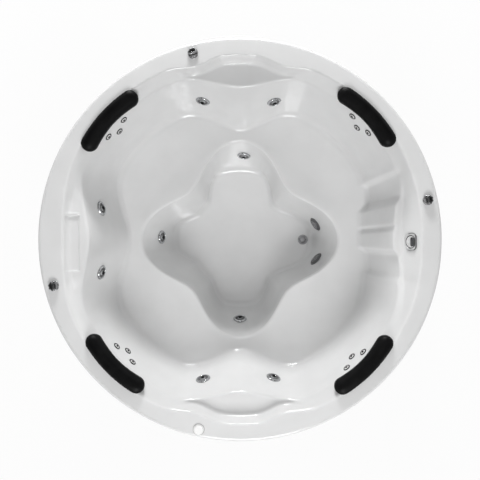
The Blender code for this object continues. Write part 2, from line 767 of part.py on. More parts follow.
def seat_cutter(name, place, face_radius, hole_radius, sides):
    """A hole through the shell with a flat seat round it."""
    seat_radius = clear_radius(face_radius, sides)
    profile = solid_profile(
        (seat_radius, CUTTER_OVERRUN),
        (seat_radius, 0),
        (hole_radius, 0),
        (hole_radius, -CUTTER_OVERRUN - SHELL_WALL),
    )
    return turned_piece(name, profile, sides, None, place)


def joined_cutters(name, cutters):
    """Cutters that don't touch each other, as one object."""
    points, faces = [], []
    for cutter in cutters:
        start = len(points)
        points += [cutter.matrix_world @ vertex.co for vertex in cutter.data.vertices]
        faces += [[start + corner for corner in face.vertices] for face in cutter.data.polygons]
        bpy.data.objects.remove(cutter, do_unlink=True)
    return mesh_object(name, points, faces, None)


def tray_cutter():
    """The shallow tray in the west ledge: a flat rectangle with rounded corners."""
    _, heights = shell_corners(np.array([WEST]))
    depth = TRAY_DEPTH + CUTTER_OVERRUN
    middle = Vector((-TRAY_MIDDLE_RADIUS, TRAY_SHIFT, heights[BACK_TOP, 0] - TRAY_DEPTH + depth / 2))
    tray = block("tray_cutter", (TRAY_WIDTH, TRAY_LENGTH, depth), Matrix.Translation(middle), None)
    rounding = tray.modifiers.new("corners", "BEVEL")
    rounding.width = TRAY_CORNER
    rounding.segments = 2
    return tray


def jet_barrel_radius():
    return clear_radius(JET_SLEEVE_RADIUS, JET_SIDES) + JET_BARREL_WALL


def make_shell(material):
    shell = shell_blank("shell", material)
    cutters = []
    for name, place in jet_places().items():
        hole = jet_barrel_radius() + SLIDE_GAP
        cutters.append(seat_cutter(name, place, JET_BEZEL_RADIUS, hole, JET_SIDES))
    for name, place in neck_places().items():
        hole = NECK_BARREL_RADIUS + SLIDE_GAP
        cutters.append(seat_cutter(name, place, NECK_FACE_RADIUS, hole, NECK_SIDES))
    for name, place in suction_places().items():
        hole = SUCTION_SPIGOT + SLIDE_GAP
        cutters.append(seat_cutter(name, place, SUCTION_RADIUS, hole, JET_SIDES))
    hole = OVERFLOW_BARREL_RADIUS + SLIDE_GAP
    cutters.append(seat_cutter("overflow", overflow_place(), OVERFLOW_RADIUS, hole, JET_SIDES))
    waste = facing((WASTE_RADIUS_OUT, 0, FLOOR_HEIGHT), (0, 0, 1))
    hole = WASTE_BARREL_RADIUS + SLIDE_GAP
    cutters.append(seat_cutter("waste", waste, WASTE_FLANGE_RADIUS, hole, JET_SIDES))
    for name, bearing in AIR_CONTROL_BEARINGS.items():
        place = rim_place(AIR_CONTROL_RADIUS_OUT, bearing)
        hole = AIR_VALVE_RADIUS + SLIDE_GAP
        cutters.append(seat_cutter(name, place, AIR_KNOB_RADIUS, hole, JET_SIDES))
    hole = BUTTON_BARREL_RADIUS + SLIDE_GAP
    place = rim_place(BUTTON_RADIUS_OUT, BUTTON_BEARING)
    cutters.append(seat_cutter("button", place, BUTTON_BEZEL_RADIUS, hole, JET_SIDES))
    return cut(shell, joined_cutters("fitting_holes", cutters), tray_cutter())


def pillow_section(bearing):
    """Outline of a headrest in (radius, height), resting on the rim and hanging over the brow."""
    radii, heights = shell_corners(np.array([float(bearing)]))
    ledge = Vector((radii[LEDGE_OUTER, 0], heights[LEDGE_OUTER, 0]))
    rim = Vector((radii[RIM_INNER, 0], heights[RIM_INNER, 0]))
    top = Vector((radii[BACK_TOP, 0], heights[BACK_TOP, 0]))
    width = PILLOW_OUTER_RADIUS - PILLOW_NOSE_RADIUS
    seat = RIM_HEIGHT + TOUCH_GAP
    step = PILLOW_CLEARANCE
    outline = [
        (rim.x + step, seat),
        (PILLOW_OUTER_RADIUS - PILLOW_SIDE_ROUND, seat),
        (PILLOW_OUTER_RADIUS, seat + PILLOW_SIDE_ROUND),
    ]
    for inward, rise in PILLOW_CROWN_SHARES:
        outline.append((PILLOW_OUTER_RADIUS - inward * width, RIM_HEIGHT + rise * PILLOW_CROWN))
    for inward, fall in PILLOW_NOSE_SHARES:
        outline.append((PILLOW_NOSE_RADIUS + inward * width, RIM_HEIGHT - fall * PILLOW_NOSE_DROP))
    outline.append((top.x + step, RIM_HEIGHT - PILLOW_NOSE_DROP))
    outline.append((ledge.x - 2 * step, ledge.y + 2 * step))
    outline.append((rim.x - 2 * step, rim.y))
    return outline


def make_pillow(name, bearing, material):
    """A headrest swept along the rim, drawn in at both ends to a rounded nose."""
    outline = pillow_section(bearing)
    spine = Vector((RIM_INNER_RADIUS - 4 * PILLOW_CLEARANCE, RIM_HEIGHT + 4 * PILLOW_CLEARANCE))
    places = np.array(PILLOW_STATION_SHARES)
    fullness = np.sqrt(np.clip(1 - np.abs(places) ** PILLOW_END_POWER, PILLOW_END_SHARE, 1))
    points, faces = [], []
    for place, full in zip(places, fullness):
        for corner in outline:
            drawn = spine.lerp(Vector(corner), full)
            points.append(polar(drawn.x, bearing + place * PILLOW_LENGTH_SPREAD, drawn.y))
    count = len(outline)
    for ring in range(len(places) - 1):
        for corner in range(count):
            beyond = (corner + 1) % count
            low, high = ring * count, (ring + 1) * count
            faces.append((low + corner, low + beyond, high + beyond, high + corner))
    faces.append(tuple(range(count)))
    faces.append(tuple(range(len(points) - count, len(points))))
    return mesh_object(name, points, faces, material)


def make_bezel(name, place, material):
    """The ring of a large jet: it turns in the jet body and holds the nozzle's ball under its lip."""
    ball_middle = -JET_BALL_DROP
    socket = clear_radius(JET_BALL_RADIUS, JET_SIDES)
    lip_rise = JET_LIP_HEIGHT - ball_middle
    lip = clear_radius(math.sqrt(JET_BALL_RADIUS**2 - lip_rise**2), JET_SIDES)
    profile = [
        (socket, -JET_SLEEVE_DEPTH),
        (JET_SLEEVE_RADIUS, -JET_SLEEVE_DEPTH),
        (JET_SLEEVE_RADIUS, TOUCH_GAP),
        (JET_BEZEL_RADIUS, TOUCH_GAP),
        (JET_BEZEL_RADIUS, JET_BEZEL_EDGE),
        (JET_BEZEL_LAND, JET_BEZEL_HEIGHT),
        (JET_FACE_RADIUS, JET_BEZEL_HEIGHT),
        (JET_DISH_RADIUS, JET_DISH_HEIGHT),
        (lip, JET_LIP_HEIGHT),
        (socket, ball_middle),
    ]
    return turned_piece(name, profile, JET_SIDES, material, place)


def make_nozzle(name, place, material):
    """A ball with a spout and a bore, about the ball's middle."""
    profile = [(JET_BORE_RADIUS, -NOZZLE_TAIL_SHARE * JET_BALL_RADIUS)]
    for degrees in NOZZLE_RING_BEARINGS:
        angle = math.radians(degrees)
        profile.append((JET_BALL_RADIUS * math.cos(angle), JET_BALL_RADIUS * math.sin(angle)))
    neck_rise = math.sqrt(JET_BALL_RADIUS**2 - JET_SPOUT_RADIUS**2)
    profile.append((JET_SPOUT_RADIUS, neck_rise))
    profile.append((JET_SPOUT_RADIUS, JET_SPOUT_REACH))
    profile.append((JET_BORE_RADIUS, JET_SPOUT_REACH))
    middle = place @ Matrix.Translation((0, 0, -JET_BALL_DROP))
    return turned_piece(name, profile, NOZZLE_SIDES, material, middle)


def nut_top():
    """How far below a fitting's seat the nut's face lies on the hidden side of the shell."""
    return SHELL_WALL + NUT_STANDOFF


def make_jet_body(name, place):
    """The fixed body of a large jet: a barrel through the shell, its nut and the chamber behind."""
    bore = clear_radius(JET_SLEEVE_RADIUS, JET_SIDES)
    barrel = jet_barrel_radius()
    nut_foot = nut_top() + JET_NUT_HEIGHT
    profile = [
        (0, -JET_WELL_DEPTH),
        (bore, -JET_WELL_DEPTH),
        (bore, -TOUCH_GAP),
        (barrel, -TOUCH_GAP),
        (barrel, -nut_top()),
        (JET_NUT_RADIUS, -nut_top()),
        (JET_NUT_RADIUS, -nut_foot),
        (JET_BODY_RADIUS, -nut_foot),
        (JET_BODY_RADIUS, -JET_BODY_DEPTH),
        (0, -JET_BODY_DEPTH),
    ]
    return turned_piece(name, profile, JET_SIDES, None, place)


def make_neck_jet(name, place, material):
    """A small fixed jet: a domed face with a bore, and a barrel through the shell."""
    profile = [
        (NECK_BORE_RADIUS, -NECK_BARREL_DEPTH),
        (NECK_BARREL_RADIUS, -NECK_BARREL_DEPTH),
        (NECK_BARREL_RADIUS, TOUCH_GAP),
        (NECK_FACE_RADIUS, TOUCH_GAP),
        (NECK_FACE_RADIUS, NECK_EDGE_SHARE * NECK_FACE_HEIGHT),
        (NECK_LAND_SHARE * NECK_FACE_RADIUS, NECK_FACE_HEIGHT),
        (NECK_DISH_SHARE * NECK_FACE_RADIUS, NECK_FACE_HEIGHT),
        (NECK_BORE_RADIUS, NECK_MOUTH_SHARE * NECK_FACE_HEIGHT),
    ]
    return turned_piece(name, profile, NECK_SIDES, material, place)


def make_suction_cover(name, place, material):
    """A domed grille over a suction fitting, with a spigot into the fitting."""
    profile = solid_profile(
        (SUCTION_SPIGOT, -JET_SLEEVE_DEPTH),
        (SUCTION_SPIGOT, TOUCH_GAP),
        (SUCTION_RADIUS, TOUCH_GAP),
        (SUCTION_RADIUS, SUCTION_RIM),
        *((out * SUCTION_RADIUS, up * SUCTION_DOME) for out, up in SUCTION_CROWN_SHARES),
    )
    cover = turned_piece(name, profile, JET_SIDES, material, place)
    slots = []
    for number in range(SUCTION_SLOTS):
        shift = (number - (SUCTION_SLOTS - 1) / 2) * SUCTION_SLOT_PITCH
        reach = SUCTION_SLOT_REACH_SHARE * SUCTION_RADIUS
        half = math.sqrt(max(reach**2 - shift**2, SUCTION_SLOT_WIDTH**2))
        size = (2 * half, SUCTION_SLOT_WIDTH, 2 * SUCTION_SLOT_DEPTH)
        middle = place @ Matrix.Translation((0, shift, SUCTION_RIM + SUCTION_SLOT_DEPTH))
        slots.append(block(f"slot_{number}", size, middle, None))
    return cut(cover, joined_cutters(name + "_slots", slots))


def make_waste(material):
    """The waste's flange in the tub floor and its barrel below."""
    profile = [
        (WASTE_THROAT_RADIUS, -WASTE_BARREL_DEPTH),
        (WASTE_BARREL_RADIUS, -WASTE_BARREL_DEPTH),
        (WASTE_BARREL_RADIUS, TOUCH_GAP),
        (WASTE_FLANGE_RADIUS, TOUCH_GAP),
        (WASTE_FLANGE_RADIUS, WASTE_FLANGE_HEIGHT / 2),
        (WASTE_BARREL_RADIUS, WASTE_FLANGE_HEIGHT),
        (WASTE_THROAT_RADIUS, WASTE_FLANGE_HEIGHT),
    ]
    place = facing((WASTE_RADIUS_OUT, 0, FLOOR_HEIGHT), (0, 0, 1))
    return turned_piece("waste_flange", profile, JET_SIDES, material, place)


def make_plug(material):
    """The pop-up plug, closed on the flange."""
    profile = solid_profile(
        (PLUG_STEM_RADIUS, -PLUG_STEM_LENGTH),
        (PLUG_STEM_RADIUS, TOUCH_GAP),
        (PLUG_RADIUS, TOUCH_GAP),
        (PLUG_RADIUS, PLUG_HEIGHT / 2),
        (PLUG_CROWN_SHARE * PLUG_RADIUS, PLUG_HEIGHT),
    )
    place = facing((WASTE_RADIUS_OUT, 0, FLOOR_HEIGHT + WASTE_FLANGE_HEIGHT), (0, 0, 1))
    return turned_piece("waste_plug", profile, JET_SIDES, material, place)


def make_overflow_cover(material):
    """The ring of the overflow, with a mouth round the knob and a barrel through the shell."""
    spindle = clear_radius(OVERFLOW_SPINDLE_RADIUS, JET_SIDES)
    floor = TOUCH_GAP + OVERFLOW_FLOOR_SHARE * OVERFLOW_HEIGHT
    edge = [
        (OVERFLOW_RADIUS - inward * OVERFLOW_HEIGHT, up * OVERFLOW_HEIGHT)
        for inward, up in OVERFLOW_EDGE_SHARES
    ]
    profile = [
        (spindle, -OVERFLOW_BARREL_DEPTH),
        (OVERFLOW_BARREL_RADIUS, -OVERFLOW_BARREL_DEPTH),
        (OVERFLOW_BARREL_RADIUS, TOUCH_GAP),
        (OVERFLOW_RADIUS, TOUCH_GAP),
        *edge,
        (OVERFLOW_MOUTH_RADIUS, OVERFLOW_HEIGHT),
        (OVERFLOW_MOUTH_RADIUS, floor),
        (spindle, floor),
    ]
    return turned_piece("overflow_cover", profile, JET_SIDES, material, overflow_place())


def make_overflow_knob(material):
    """The knob in the overflow that works the plug, with a raised grip across its face."""
    foot = OVERFLOW_FLOOR_SHARE * OVERFLOW_HEIGHT + 2 * SLIDE_GAP
    top = OVERFLOW_KNOB_HEIGHT
    tail = -OVERFLOW_SPINDLE_SHARE * OVERFLOW_BARREL_DEPTH
    profile = solid_profile(
        (OVERFLOW_SPINDLE_RADIUS, tail),
        (OVERFLOW_SPINDLE_RADIUS, foot),
        (OVERFLOW_KNOB_RADIUS, foot),
        *((out * OVERFLOW_KNOB_RADIUS, up * top) for out, up in OVERFLOW_CROWN_SHARES),
    )
    knob = turned_piece("overflow_knob", profile, JET_SIDES, material, overflow_place())
    length, height, middle_rise = OVERFLOW_GRIP_SHARES
    size = (OVERFLOW_GRIP_WIDTH, length * OVERFLOW_KNOB_RADIUS, height * top)
    middle = overflow_place() @ Matrix.Translation((0, 0, middle_rise * top))
    return fuse(knob, block("overflow_grip", size, middle, None))


def make_air_knob(name, bearing, material):
    """A knob with a waist and flutes, whose stem turns in the air valve below."""
    low, high = AIR_KNOB_WAIST_SHARES
    profile = solid_profile(
        (AIR_KNOB_STEM_RADIUS, -AIR_KNOB_STEM_LENGTH),
        (AIR_KNOB_STEM_RADIUS, TOUCH_GAP),
        (AIR_KNOB_RADIUS, TOUCH_GAP),
        (AIR_KNOB_RADIUS, AIR_KNOB_SKIRT_SHARE * AIR_KNOB_HEIGHT),
        (AIR_KNOB_WAIST, low * AIR_KNOB_HEIGHT),
        (AIR_KNOB_WAIST, high * AIR_KNOB_HEIGHT),
        (AIR_KNOB_CROWN_SHARE * AIR_KNOB_WAIST, AIR_KNOB_HEIGHT),
    )
    place = rim_place(AIR_CONTROL_RADIUS_OUT, bearing)
    knob = turned_piece(name, profile, AIR_KNOB_FLUTES, material, place)
    length, width, height = AIR_KNOB_BAR_SHARES
    size = (length * AIR_KNOB_WAIST, width * AIR_KNOB_WAIST, height * AIR_KNOB_HEIGHT)
    middle = place @ Matrix.Translation((0, 0, AIR_KNOB_HEIGHT))
    return fuse(knob, block(name + "_bar", size, middle, None))


def make_button_bezel(material):
    """The collar of the push button, with its barrel through the rim."""
    cap_bore = clear_radius(BUTTON_CAP_RADIUS, JET_SIDES)
    plunger_bore = clear_radius(BUTTON_PLUNGER_RADIUS, JET_SIDES)
    floor = BUTTON_FLOOR_SHARE * BUTTON_BEZEL_HEIGHT
    land = cap_bore + BUTTON_LAND_SHARE * (BUTTON_BEZEL_RADIUS - cap_bore)
    profile = [
        (0, -BUTTON_BARREL_LENGTH),
        (BUTTON_BARREL_RADIUS, -BUTTON_BARREL_LENGTH),
        (BUTTON_BARREL_RADIUS, TOUCH_GAP),
        (BUTTON_BEZEL_RADIUS, TOUCH_GAP),
        (BUTTON_BEZEL_RADIUS, BUTTON_EDGE_SHARE * BUTTON_BEZEL_HEIGHT),
        (land, BUTTON_BEZEL_HEIGHT),
        (cap_bore, BUTTON_BEZEL_HEIGHT),
        (cap_bore, floor),
        (plunger_bore, floor),
        (plunger_bore, -BUTTON_CUP_DEPTH - BUTTON_TRAVEL - SLIDE_GAP),
        (0, -BUTTON_CUP_DEPTH - BUTTON_TRAVEL - SLIDE_GAP),
    ]
    place = rim_place(BUTTON_RADIUS_OUT, BUTTON_BEARING)
    return turned_piece("button_collar", profile, JET_SIDES, material, place)


def make_button_cap(material):
    """The cap and its plunger, at rest: it can go down by its travel."""
    foot = BUTTON_FLOOR_SHARE * BUTTON_BEZEL_HEIGHT + SLIDE_GAP + BUTTON_TRAVEL
    height = BUTTON_CAP_HEIGHT - foot
    profile = solid_profile(
        (BUTTON_PLUNGER_RADIUS, -BUTTON_CUP_DEPTH),
        (BUTTON_PLUNGER_RADIUS, foot),
        (BUTTON_CAP_RADIUS, foot),
        *((out * BUTTON_CAP_RADIUS, foot + up * height) for out, up in BUTTON_CROWN_SHARES),
        (BUTTON_DISH_SHARE * BUTTON_CAP_RADIUS, BUTTON_CAP_HEIGHT - SLIDE_GAP),
    )
    place = rim_place(BUTTON_RADIUS_OUT, BUTTON_BEARING)
    return turned_piece("button_cap", profile, JET_SIDES, material, place)


def frame_base():
    """Height of the underside of the lower frame: the pan bearers lie on it, under the tub floor."""
    return FLOOR_HEIGHT - SHELL_WALL - TOUCH_GAP - 2 * FRAME_TUBE + TUBE_STEP


def post_bearings():
    return [POST_FIRST_BEARING + 360 * number / POST_COUNT for number in range(POST_COUNT)]


def bar(name, start, end, width):
    """A straight square bar."""
    start, end = Vector(start), Vector(end)
    along = (end - start).normalized()
    across = along.cross(Vector((0, 0, 1)))
    place = facing((start + end) / 2, along, across if across.length > 0.1 else outward(0))
    return block(name, (width, width, (end - start).length), place, None)


def ring_edge_radius(corner_radius, count):
    return corner_radius * math.cos(math.pi / count)


def make_post(number, bearing):
    """A post of the frame with the plate that carries the rim."""
    high = RIM_HEIGHT - SHELL_WALL - TOUCH_GAP
    foot = polar(POST_RADIUS_OUT, bearing, frame_base() - TUBE_STEP)
    head = polar(POST_RADIUS_OUT, bearing, high - TUBE_STEP)
    post_place = facing((foot + head) / 2, (0, 0, 1), outward(bearing))
    post_size = (FRAME_TUBE + TUBE_STEP, FRAME_TUBE + TUBE_STEP, (head - foot).length)
    post = block(f"post_{number}", post_size, post_place, None)
    pad_middle = polar(POST_RADIUS_OUT, bearing, high - POST_PAD_HEIGHT / 2)
    pad_place = facing(pad_middle, (0, 0, 1), outward(bearing))
    pad = block(f"pad_{number}", (POST_PAD_DEPTH, POST_PAD_WIDTH, POST_PAD_HEIGHT), pad_place, None)
    return [post, pad]


def make_bearer(side):
    """A bar under the tub floor that lies on the lower frame."""
    height = FLOOR_HEIGHT - SHELL_WALL - TOUCH_GAP - FRAME_TUBE / 2
    reach = ring_edge_radius(POST_RADIUS_OUT, POST_COUNT)
    shift = side * BEARER_SHIFT
    return bar(f"bearer_{side}", (-reach, shift, height), (reach, shift, height), FRAME_TUBE)


def pump_shelf_top():
    return frame_base() + FRAME_TUBE - 2 * TUBE_STEP + PUMP_SHELF_HEIGHT


def make_pump_shelf():
    """The bar and the plate that carry the pump."""
    middle_height = frame_base() + FRAME_TUBE / 2
    edge = ring_edge_radius(POST_RADIUS_OUT, POST_COUNT)
    reach = (edge - PUMP_CHORD_RADIUS * math.cos(math.pi / 3)) / math.sin(math.pi / 3)
    across = sideways(PUMP_BEARING) * reach
    middle = polar(PUMP_CHORD_RADIUS, PUMP_BEARING, middle_height)
    chord = bar("pump_chord", middle - across, middle + across, FRAME_TUBE - 2 * TUBE_STEP)
    height = pump_shelf_top() - PUMP_SHELF_HEIGHT / 2
    centre = polar((PUMP_CHORD_RADIUS + edge) / 2, PUMP_BEARING, height)
    place = facing(centre, (0, 0, 1), outward(PUMP_BEARING))
    size = (edge - PUMP_CHORD_RADIUS, PUMP_SHELF_LENGTH, PUMP_SHELF_HEIGHT)
    return [chord, block("pump_plate", size, place, None)]


def make_frame(material):
    height = frame_base() + FRAME_TUBE / 2
    route = [polar(POST_RADIUS_OUT, bearing, height) for bearing in post_bearings()]
    half_diagonal = FRAME_TUBE / math.sqrt(2)
    frame = pipe("support_frame", route, half_diagonal, material, closed=True, square=True)
    pieces = []
    for number, bearing in enumerate(post_bearings(), start=1):
        pieces += make_post(number, bearing)
    pieces += [make_bearer(-1), make_bearer(1)]
    pieces += make_pump_shelf()
    return fuse(frame, *pieces)


def make_foot(number, bearing, material):
    """A levelling foot: its pad, its stud and the lock nut under the frame."""
    top = frame_base() - TUBE_STEP - TOUCH_GAP
    profile = solid_profile(
        (FOOT_PAD_RADIUS, 0),
        (FOOT_PAD_RADIUS, FOOT_PAD_EDGE_SHARE * FOOT_PAD_HEIGHT),
        (FOOT_NUT_RADIUS, FOOT_PAD_HEIGHT),
        (FOOT_STUD_RADIUS, FOOT_PAD_HEIGHT),
        (FOOT_STUD_RADIUS, top - FOOT_NUT_HEIGHT),
        (FOOT_NUT_RADIUS, top - FOOT_NUT_HEIGHT),
        (FOOT_NUT_RADIUS, top),
    )
    place = facing(polar(POST_RADIUS_OUT, bearing, 0), (0, 0, 1), outward(bearing))
    return turned_piece(f"levelling_foot_{number}", profile, FOOT_SIDES, material, place)


def ring_radius(corner_radius, bearing):
    """Radius of an eight-sided ring's centre line at a bearing. Its corners lie between the seats."""
    away = (bearing + 22.5) % 45 - 22.5
    return ring_edge_radius(corner_radius, 8) / math.cos(math.radians(away))


def ring_point(corner_radius, point, height):
    """The ring's centre line straight outside a point."""
    bearing = math.degrees(math.atan2(point.y, point.x))
    return polar(ring_radius(corner_radius, bearing), bearing, height)


def ring_route(corner_radius, height):
    return [polar(corner_radius, 22.5 + 45 * number, height) for number in range(8)]


def jet_supply(name, place):
    """The water pipe of one large jet, from its body to the ring."""
    start = place @ Vector((0, 0, 3 * JET_PORT_INSET - JET_BODY_DEPTH))
    corner = Vector((start.x, start.y, WATER_RING_HEIGHT))
    ring = ring_point(WATER_RING_RADIUS, start, WATER_RING_HEIGHT)
    if "back" in name:
        return pipe(name + "_riser", [start, corner, ring], WATER_BRANCH_RADIUS, None)
    foot = riser_foot(start)
    top = Vector((foot.x, foot.y, WATER_RING_HEIGHT))
    return pipe(name + "_riser", [start, foot, top, ring], WATER_BRANCH_RADIUS, None)


def riser_foot(point):
    """The place straight outside a point where a pipe can rise behind the footwell's wall."""
    bearing = math.degrees(math.atan2(point.y, point.x))
    edge = wall_point(bearing, FLOOR_EDGE, 1)
    radius = math.hypot(edge.x, edge.y) + SHELL_WALL + WATER_BRANCH_RADIUS + RISER_CLEARANCE
    return polar(radius, bearing, point.z)


def air_port_route(name, place):
    """Centre line of a jet's air port: it turns down behind a seat back and up behind the footwell."""
    start = place @ Vector((0, 0, JET_PORT_INSET - JET_BODY_DEPTH))
    bearing = math.degrees(math.atan2(start.y, start.x))
    if "back" in name:
        above = ring_point(AIR_RING_RADIUS, start, start.z)
        return [start, above, above - Vector((0, 0, AIR_PORT_LENGTH))]
    aside = riser_foot(start) + sideways(bearing) * AIR_PORT_SHIFT
    return [start, aside, aside + Vector((0, 0, AIR_PORT_LENGTH))]


def air_supply(name, place):
    """The air pipe of one large jet, from its port to the air ring."""
    port = air_port_route(name, place)
    mouth = port[-1] + (port[-1] - port[-2]).normalized() * TOUCH_GAP
    ring = ring_point(AIR_RING_RADIUS, mouth, AIR_RING_HEIGHT)
    if "back" in name:
        return rod(name + "_air", mouth, ring, AIR_BRANCH_RADIUS, None)
    turn = Vector((mouth.x, mouth.y, AIR_RUN_HEIGHT))
    drop = Vector((ring.x, ring.y, AIR_RUN_HEIGHT))
    return pipe(name + "_air", [mouth, turn, drop, ring], AIR_BRANCH_RADIUS, None)


def neck_manifold(seat, bearing):
    """The pipe behind a cluster of neck jets, its stubs and its drop to the ring."""
    places = [place for name, place in neck_places().items() if f"_{seat}_" in name]
    ends = [place @ Vector((0, 0, -NECK_BARREL_DEPTH)) for place in places]
    back = -sum((place.to_3x3() @ Vector((0, 0, 1)) for place in places), Vector()).normalized()
    middle = sum(ends, Vector()) / len(ends) + back * NECK_MANIFOLD_SETBACK
    along = sideways(bearing)
    half = along * NECK_MANIFOLD_LENGTH / 2
    pieces = [rod(f"manifold_{seat}", middle - half, middle + half, NECK_MANIFOLD_RADIUS, None)]
    for number, place in enumerate(places):
        start = place @ Vector((0, 0, -NECK_BARREL_DEPTH - TOUCH_GAP))
        straight = place @ Vector((0, 0, -NECK_BARREL_DEPTH - NECK_STUB_RADIUS))
        meet = middle + along * along.dot(start - middle)
        route = [start, straight, meet]
        pieces.append(pipe(f"stub_{seat}_{number}", route, NECK_STUB_RADIUS - 2 * TUBE_STEP, None))
    corner = Vector((middle.x, middle.y, WATER_RING_HEIGHT))
    route = [middle, corner, ring_point(WATER_RING_RADIUS, middle, WATER_RING_HEIGHT)]
    pieces.append(pipe(f"drop_{seat}", route, NECK_MANIFOLD_RADIUS + TUBE_STEP, None))
    return pieces


def pump_middle():
    """The middle of the pump's volute, on the pump's axis."""
    height = pump_shelf_top() + TOUCH_GAP + PUMP_AXIS_RISE
    return polar(PUMP_RADIUS_OUT, PUMP_BEARING, height) + sideways(PUMP_BEARING) * PUMP_SHIFT


def pump_frame():
    """A placement on the pump's axis: Z points from the motor to the inlet, Y points up."""
    return facing(pump_middle(), sideways(PUMP_BEARING), outward(PUMP_BEARING))


def make_water_main(material):
    route = ring_route(WATER_RING_RADIUS, WATER_RING_HEIGHT)
    main = pipe("water_main", route, WATER_PIPE_RADIUS, material, closed=True)
    pieces = []
    for name, place in jet_places().items():
        pieces.append(make_jet_body(name + "_body", place))
        pieces.append(jet_supply(name, place))
        pieces.append(pipe(name + "_port", air_port_route(name, place), AIR_PORT_RADIUS, None))
    for seat, bearing in SEAT_BEARINGS.items():
        pieces += neck_manifold(seat, bearing)
    outlet = pump_middle() + Vector((0, 0, PUMP_OUTLET_HEIGHT + TOUCH_GAP))
    corner = Vector((outlet.x, outlet.y, WATER_RING_HEIGHT))
    route = [outlet, corner, ring_point(WATER_RING_RADIUS, corner, WATER_RING_HEIGHT)]
    pieces.append(pipe("discharge", route, WATER_PIPE_RADIUS - TUBE_STEP, None))
    return fuse(main, *pieces)


def make_air_valve(name, bearing):
    """The fixed body of an air control, through the rim, with its nut and the bore for the stem."""
    bore = clear_radius(AIR_KNOB_STEM_RADIUS, JET_SIDES)
    depth = AIR_VALVE_WELL_SHARE * AIR_KNOB_STEM_LENGTH
    nut = SHELL_WALL + TOUCH_GAP
    profile = [
        (0, -depth),
        (bore, -depth),
        (bore, -TOUCH_GAP),
        (AIR_VALVE_RADIUS, -TOUCH_GAP),
        (AIR_VALVE_RADIUS, -nut),
        (AIR_KNOB_RADIUS, -nut),
        (AIR_KNOB_RADIUS, -nut - JET_NUT_HEIGHT),
        (AIR_VALVE_RADIUS, -nut - JET_NUT_HEIGHT),
        (AIR_VALVE_RADIUS, -AIR_VALVE_LENGTH),
        (0, -AIR_VALVE_LENGTH),
    ]
    place = rim_place(AIR_CONTROL_RADIUS_OUT, bearing)
    return turned_piece(f"air_valve_{name}", profile, JET_SIDES, None, place)


def make_air_main(material):
    route = ring_route(AIR_RING_RADIUS, AIR_RING_HEIGHT)
    main = pipe("air_main", route, AIR_PIPE_RADIUS, material, closed=True)
    pieces = []
    for name, place in jet_places().items():
        pieces.append(air_supply(name, place))
    for name, bearing in AIR_CONTROL_BEARINGS.items():
        pieces.append(make_air_valve(name, bearing))
        top = polar(AIR_CONTROL_RADIUS_OUT, bearing, RIM_HEIGHT - AIR_VALVE_LENGTH + 5 * TUBE_STEP)
        corner = polar(AIR_CONTROL_RADIUS_OUT, bearing, AIR_RING_HEIGHT)
        route = [top, corner, ring_point(AIR_RING_RADIUS, top, AIR_RING_HEIGHT)]
        pieces.append(pipe(f"air_drop_{name}", route, AIR_BRANCH_RADIUS, None))
    return fuse(main, *pieces)


def make_pump_wet_end(material):
    """The pump's volute with its inlet on the axis and its outlet upwards."""
    place = pump_frame()
    half = PUMP_VOLUTE_LENGTH / 2
    profile = solid_profile(
        (MOTOR_RADIUS, -half),
        *((PUMP_VOLUTE_RADIUS, along * half) for along in PUMP_FACE_SHARES),
        (PUMP_COVER_SHARE * PUMP_VOLUTE_RADIUS, half),
        (PUMP_PORT_RADIUS, half),
        (PUMP_PORT_RADIUS, half + PUMP_PORT_LENGTH),
    )
    volute = turned_piece("pump_wet_end", profile, PUMP_SIDES, material, place)
    top = pump_middle() + Vector((0, 0, PUMP_OUTLET_HEIGHT))
    outlet = rod("pump_outlet", pump_middle(), top, PUMP_PORT_RADIUS, None)
    return fuse(volute, outlet)


def make_motor(material):
    """The pump's motor with its fan cover, its foot, its switch box and the cable gland."""
    place = pump_frame() @ Matrix.Translation((0, 0, -PUMP_VOLUTE_LENGTH / 2 - TOUCH_GAP))
    profile = solid_profile(
        (MOTOR_FAN_SHARE * MOTOR_RADIUS, -MOTOR_LENGTH - MOTOR_FAN_LENGTH),
        (MOTOR_FAN_SHARE * MOTOR_RADIUS, -MOTOR_LENGTH),
        (MOTOR_RADIUS, -MOTOR_LENGTH),
        (MOTOR_RADIUS, -PUMP_FLANGE_LENGTH),
        (MOTOR_FLANGE_SHARE * MOTOR_RADIUS, -PUMP_FLANGE_LENGTH),
        (MOTOR_FLANGE_SHARE * MOTOR_RADIUS, 0),
    )
    motor = turned_piece("pump_motor", profile, PUMP_SIDES, material, place)
    length, width, height = MOTOR_BOX_SIZE
    above = MOTOR_RADIUS + MOTOR_BOX_SHARE * height
    box_at = place @ Matrix.Translation((0, 0, -MOTOR_LENGTH / 2))
    box_place = facing(box_at.translation + Vector((0, 0, above)), (0, 0, 1), sideways(PUMP_BEARING))
    box = block("motor_box", (length, width, height), box_place, None)
    foot_length, foot_width, foot_height = MOTOR_FOOT_SIZE
    foot_rise = PUMP_AXIS_RISE - foot_height / 2
    foot_place = facing(box_at.translation - Vector((0, 0, foot_rise)), (0, 0, 1), sideways(PUMP_BEARING))
    foot = block("motor_foot", MOTOR_FOOT_SIZE, foot_place, None)
    length_share, width_share = MOTOR_STAND_SHARES
    stand_height = PUMP_AXIS_RISE - MOTOR_RADIUS / 2
    stand_size = (length_share * foot_length, width_share * foot_width, stand_height)
    stand_rise = PUMP_AXIS_RISE - foot_height / 2 - stand_size[2] / 2
    stand_place = facing(box_at.translation - Vector((0, 0, stand_rise)), (0, 0, 1), sideways(PUMP_BEARING))
    stand = block("motor_stand", stand_size, stand_place, None)
    gland_at = box_place.translation + outward(PUMP_BEARING) * (width / 2 - TUBE_STEP)
    gland_end = gland_at + outward(PUMP_BEARING) * MOTOR_GLAND_LENGTH
    gland = rod("motor_gland", gland_at, gland_end, MOTOR_GLAND_RADIUS, None)
    return fuse(motor, box, stand, foot, gland)


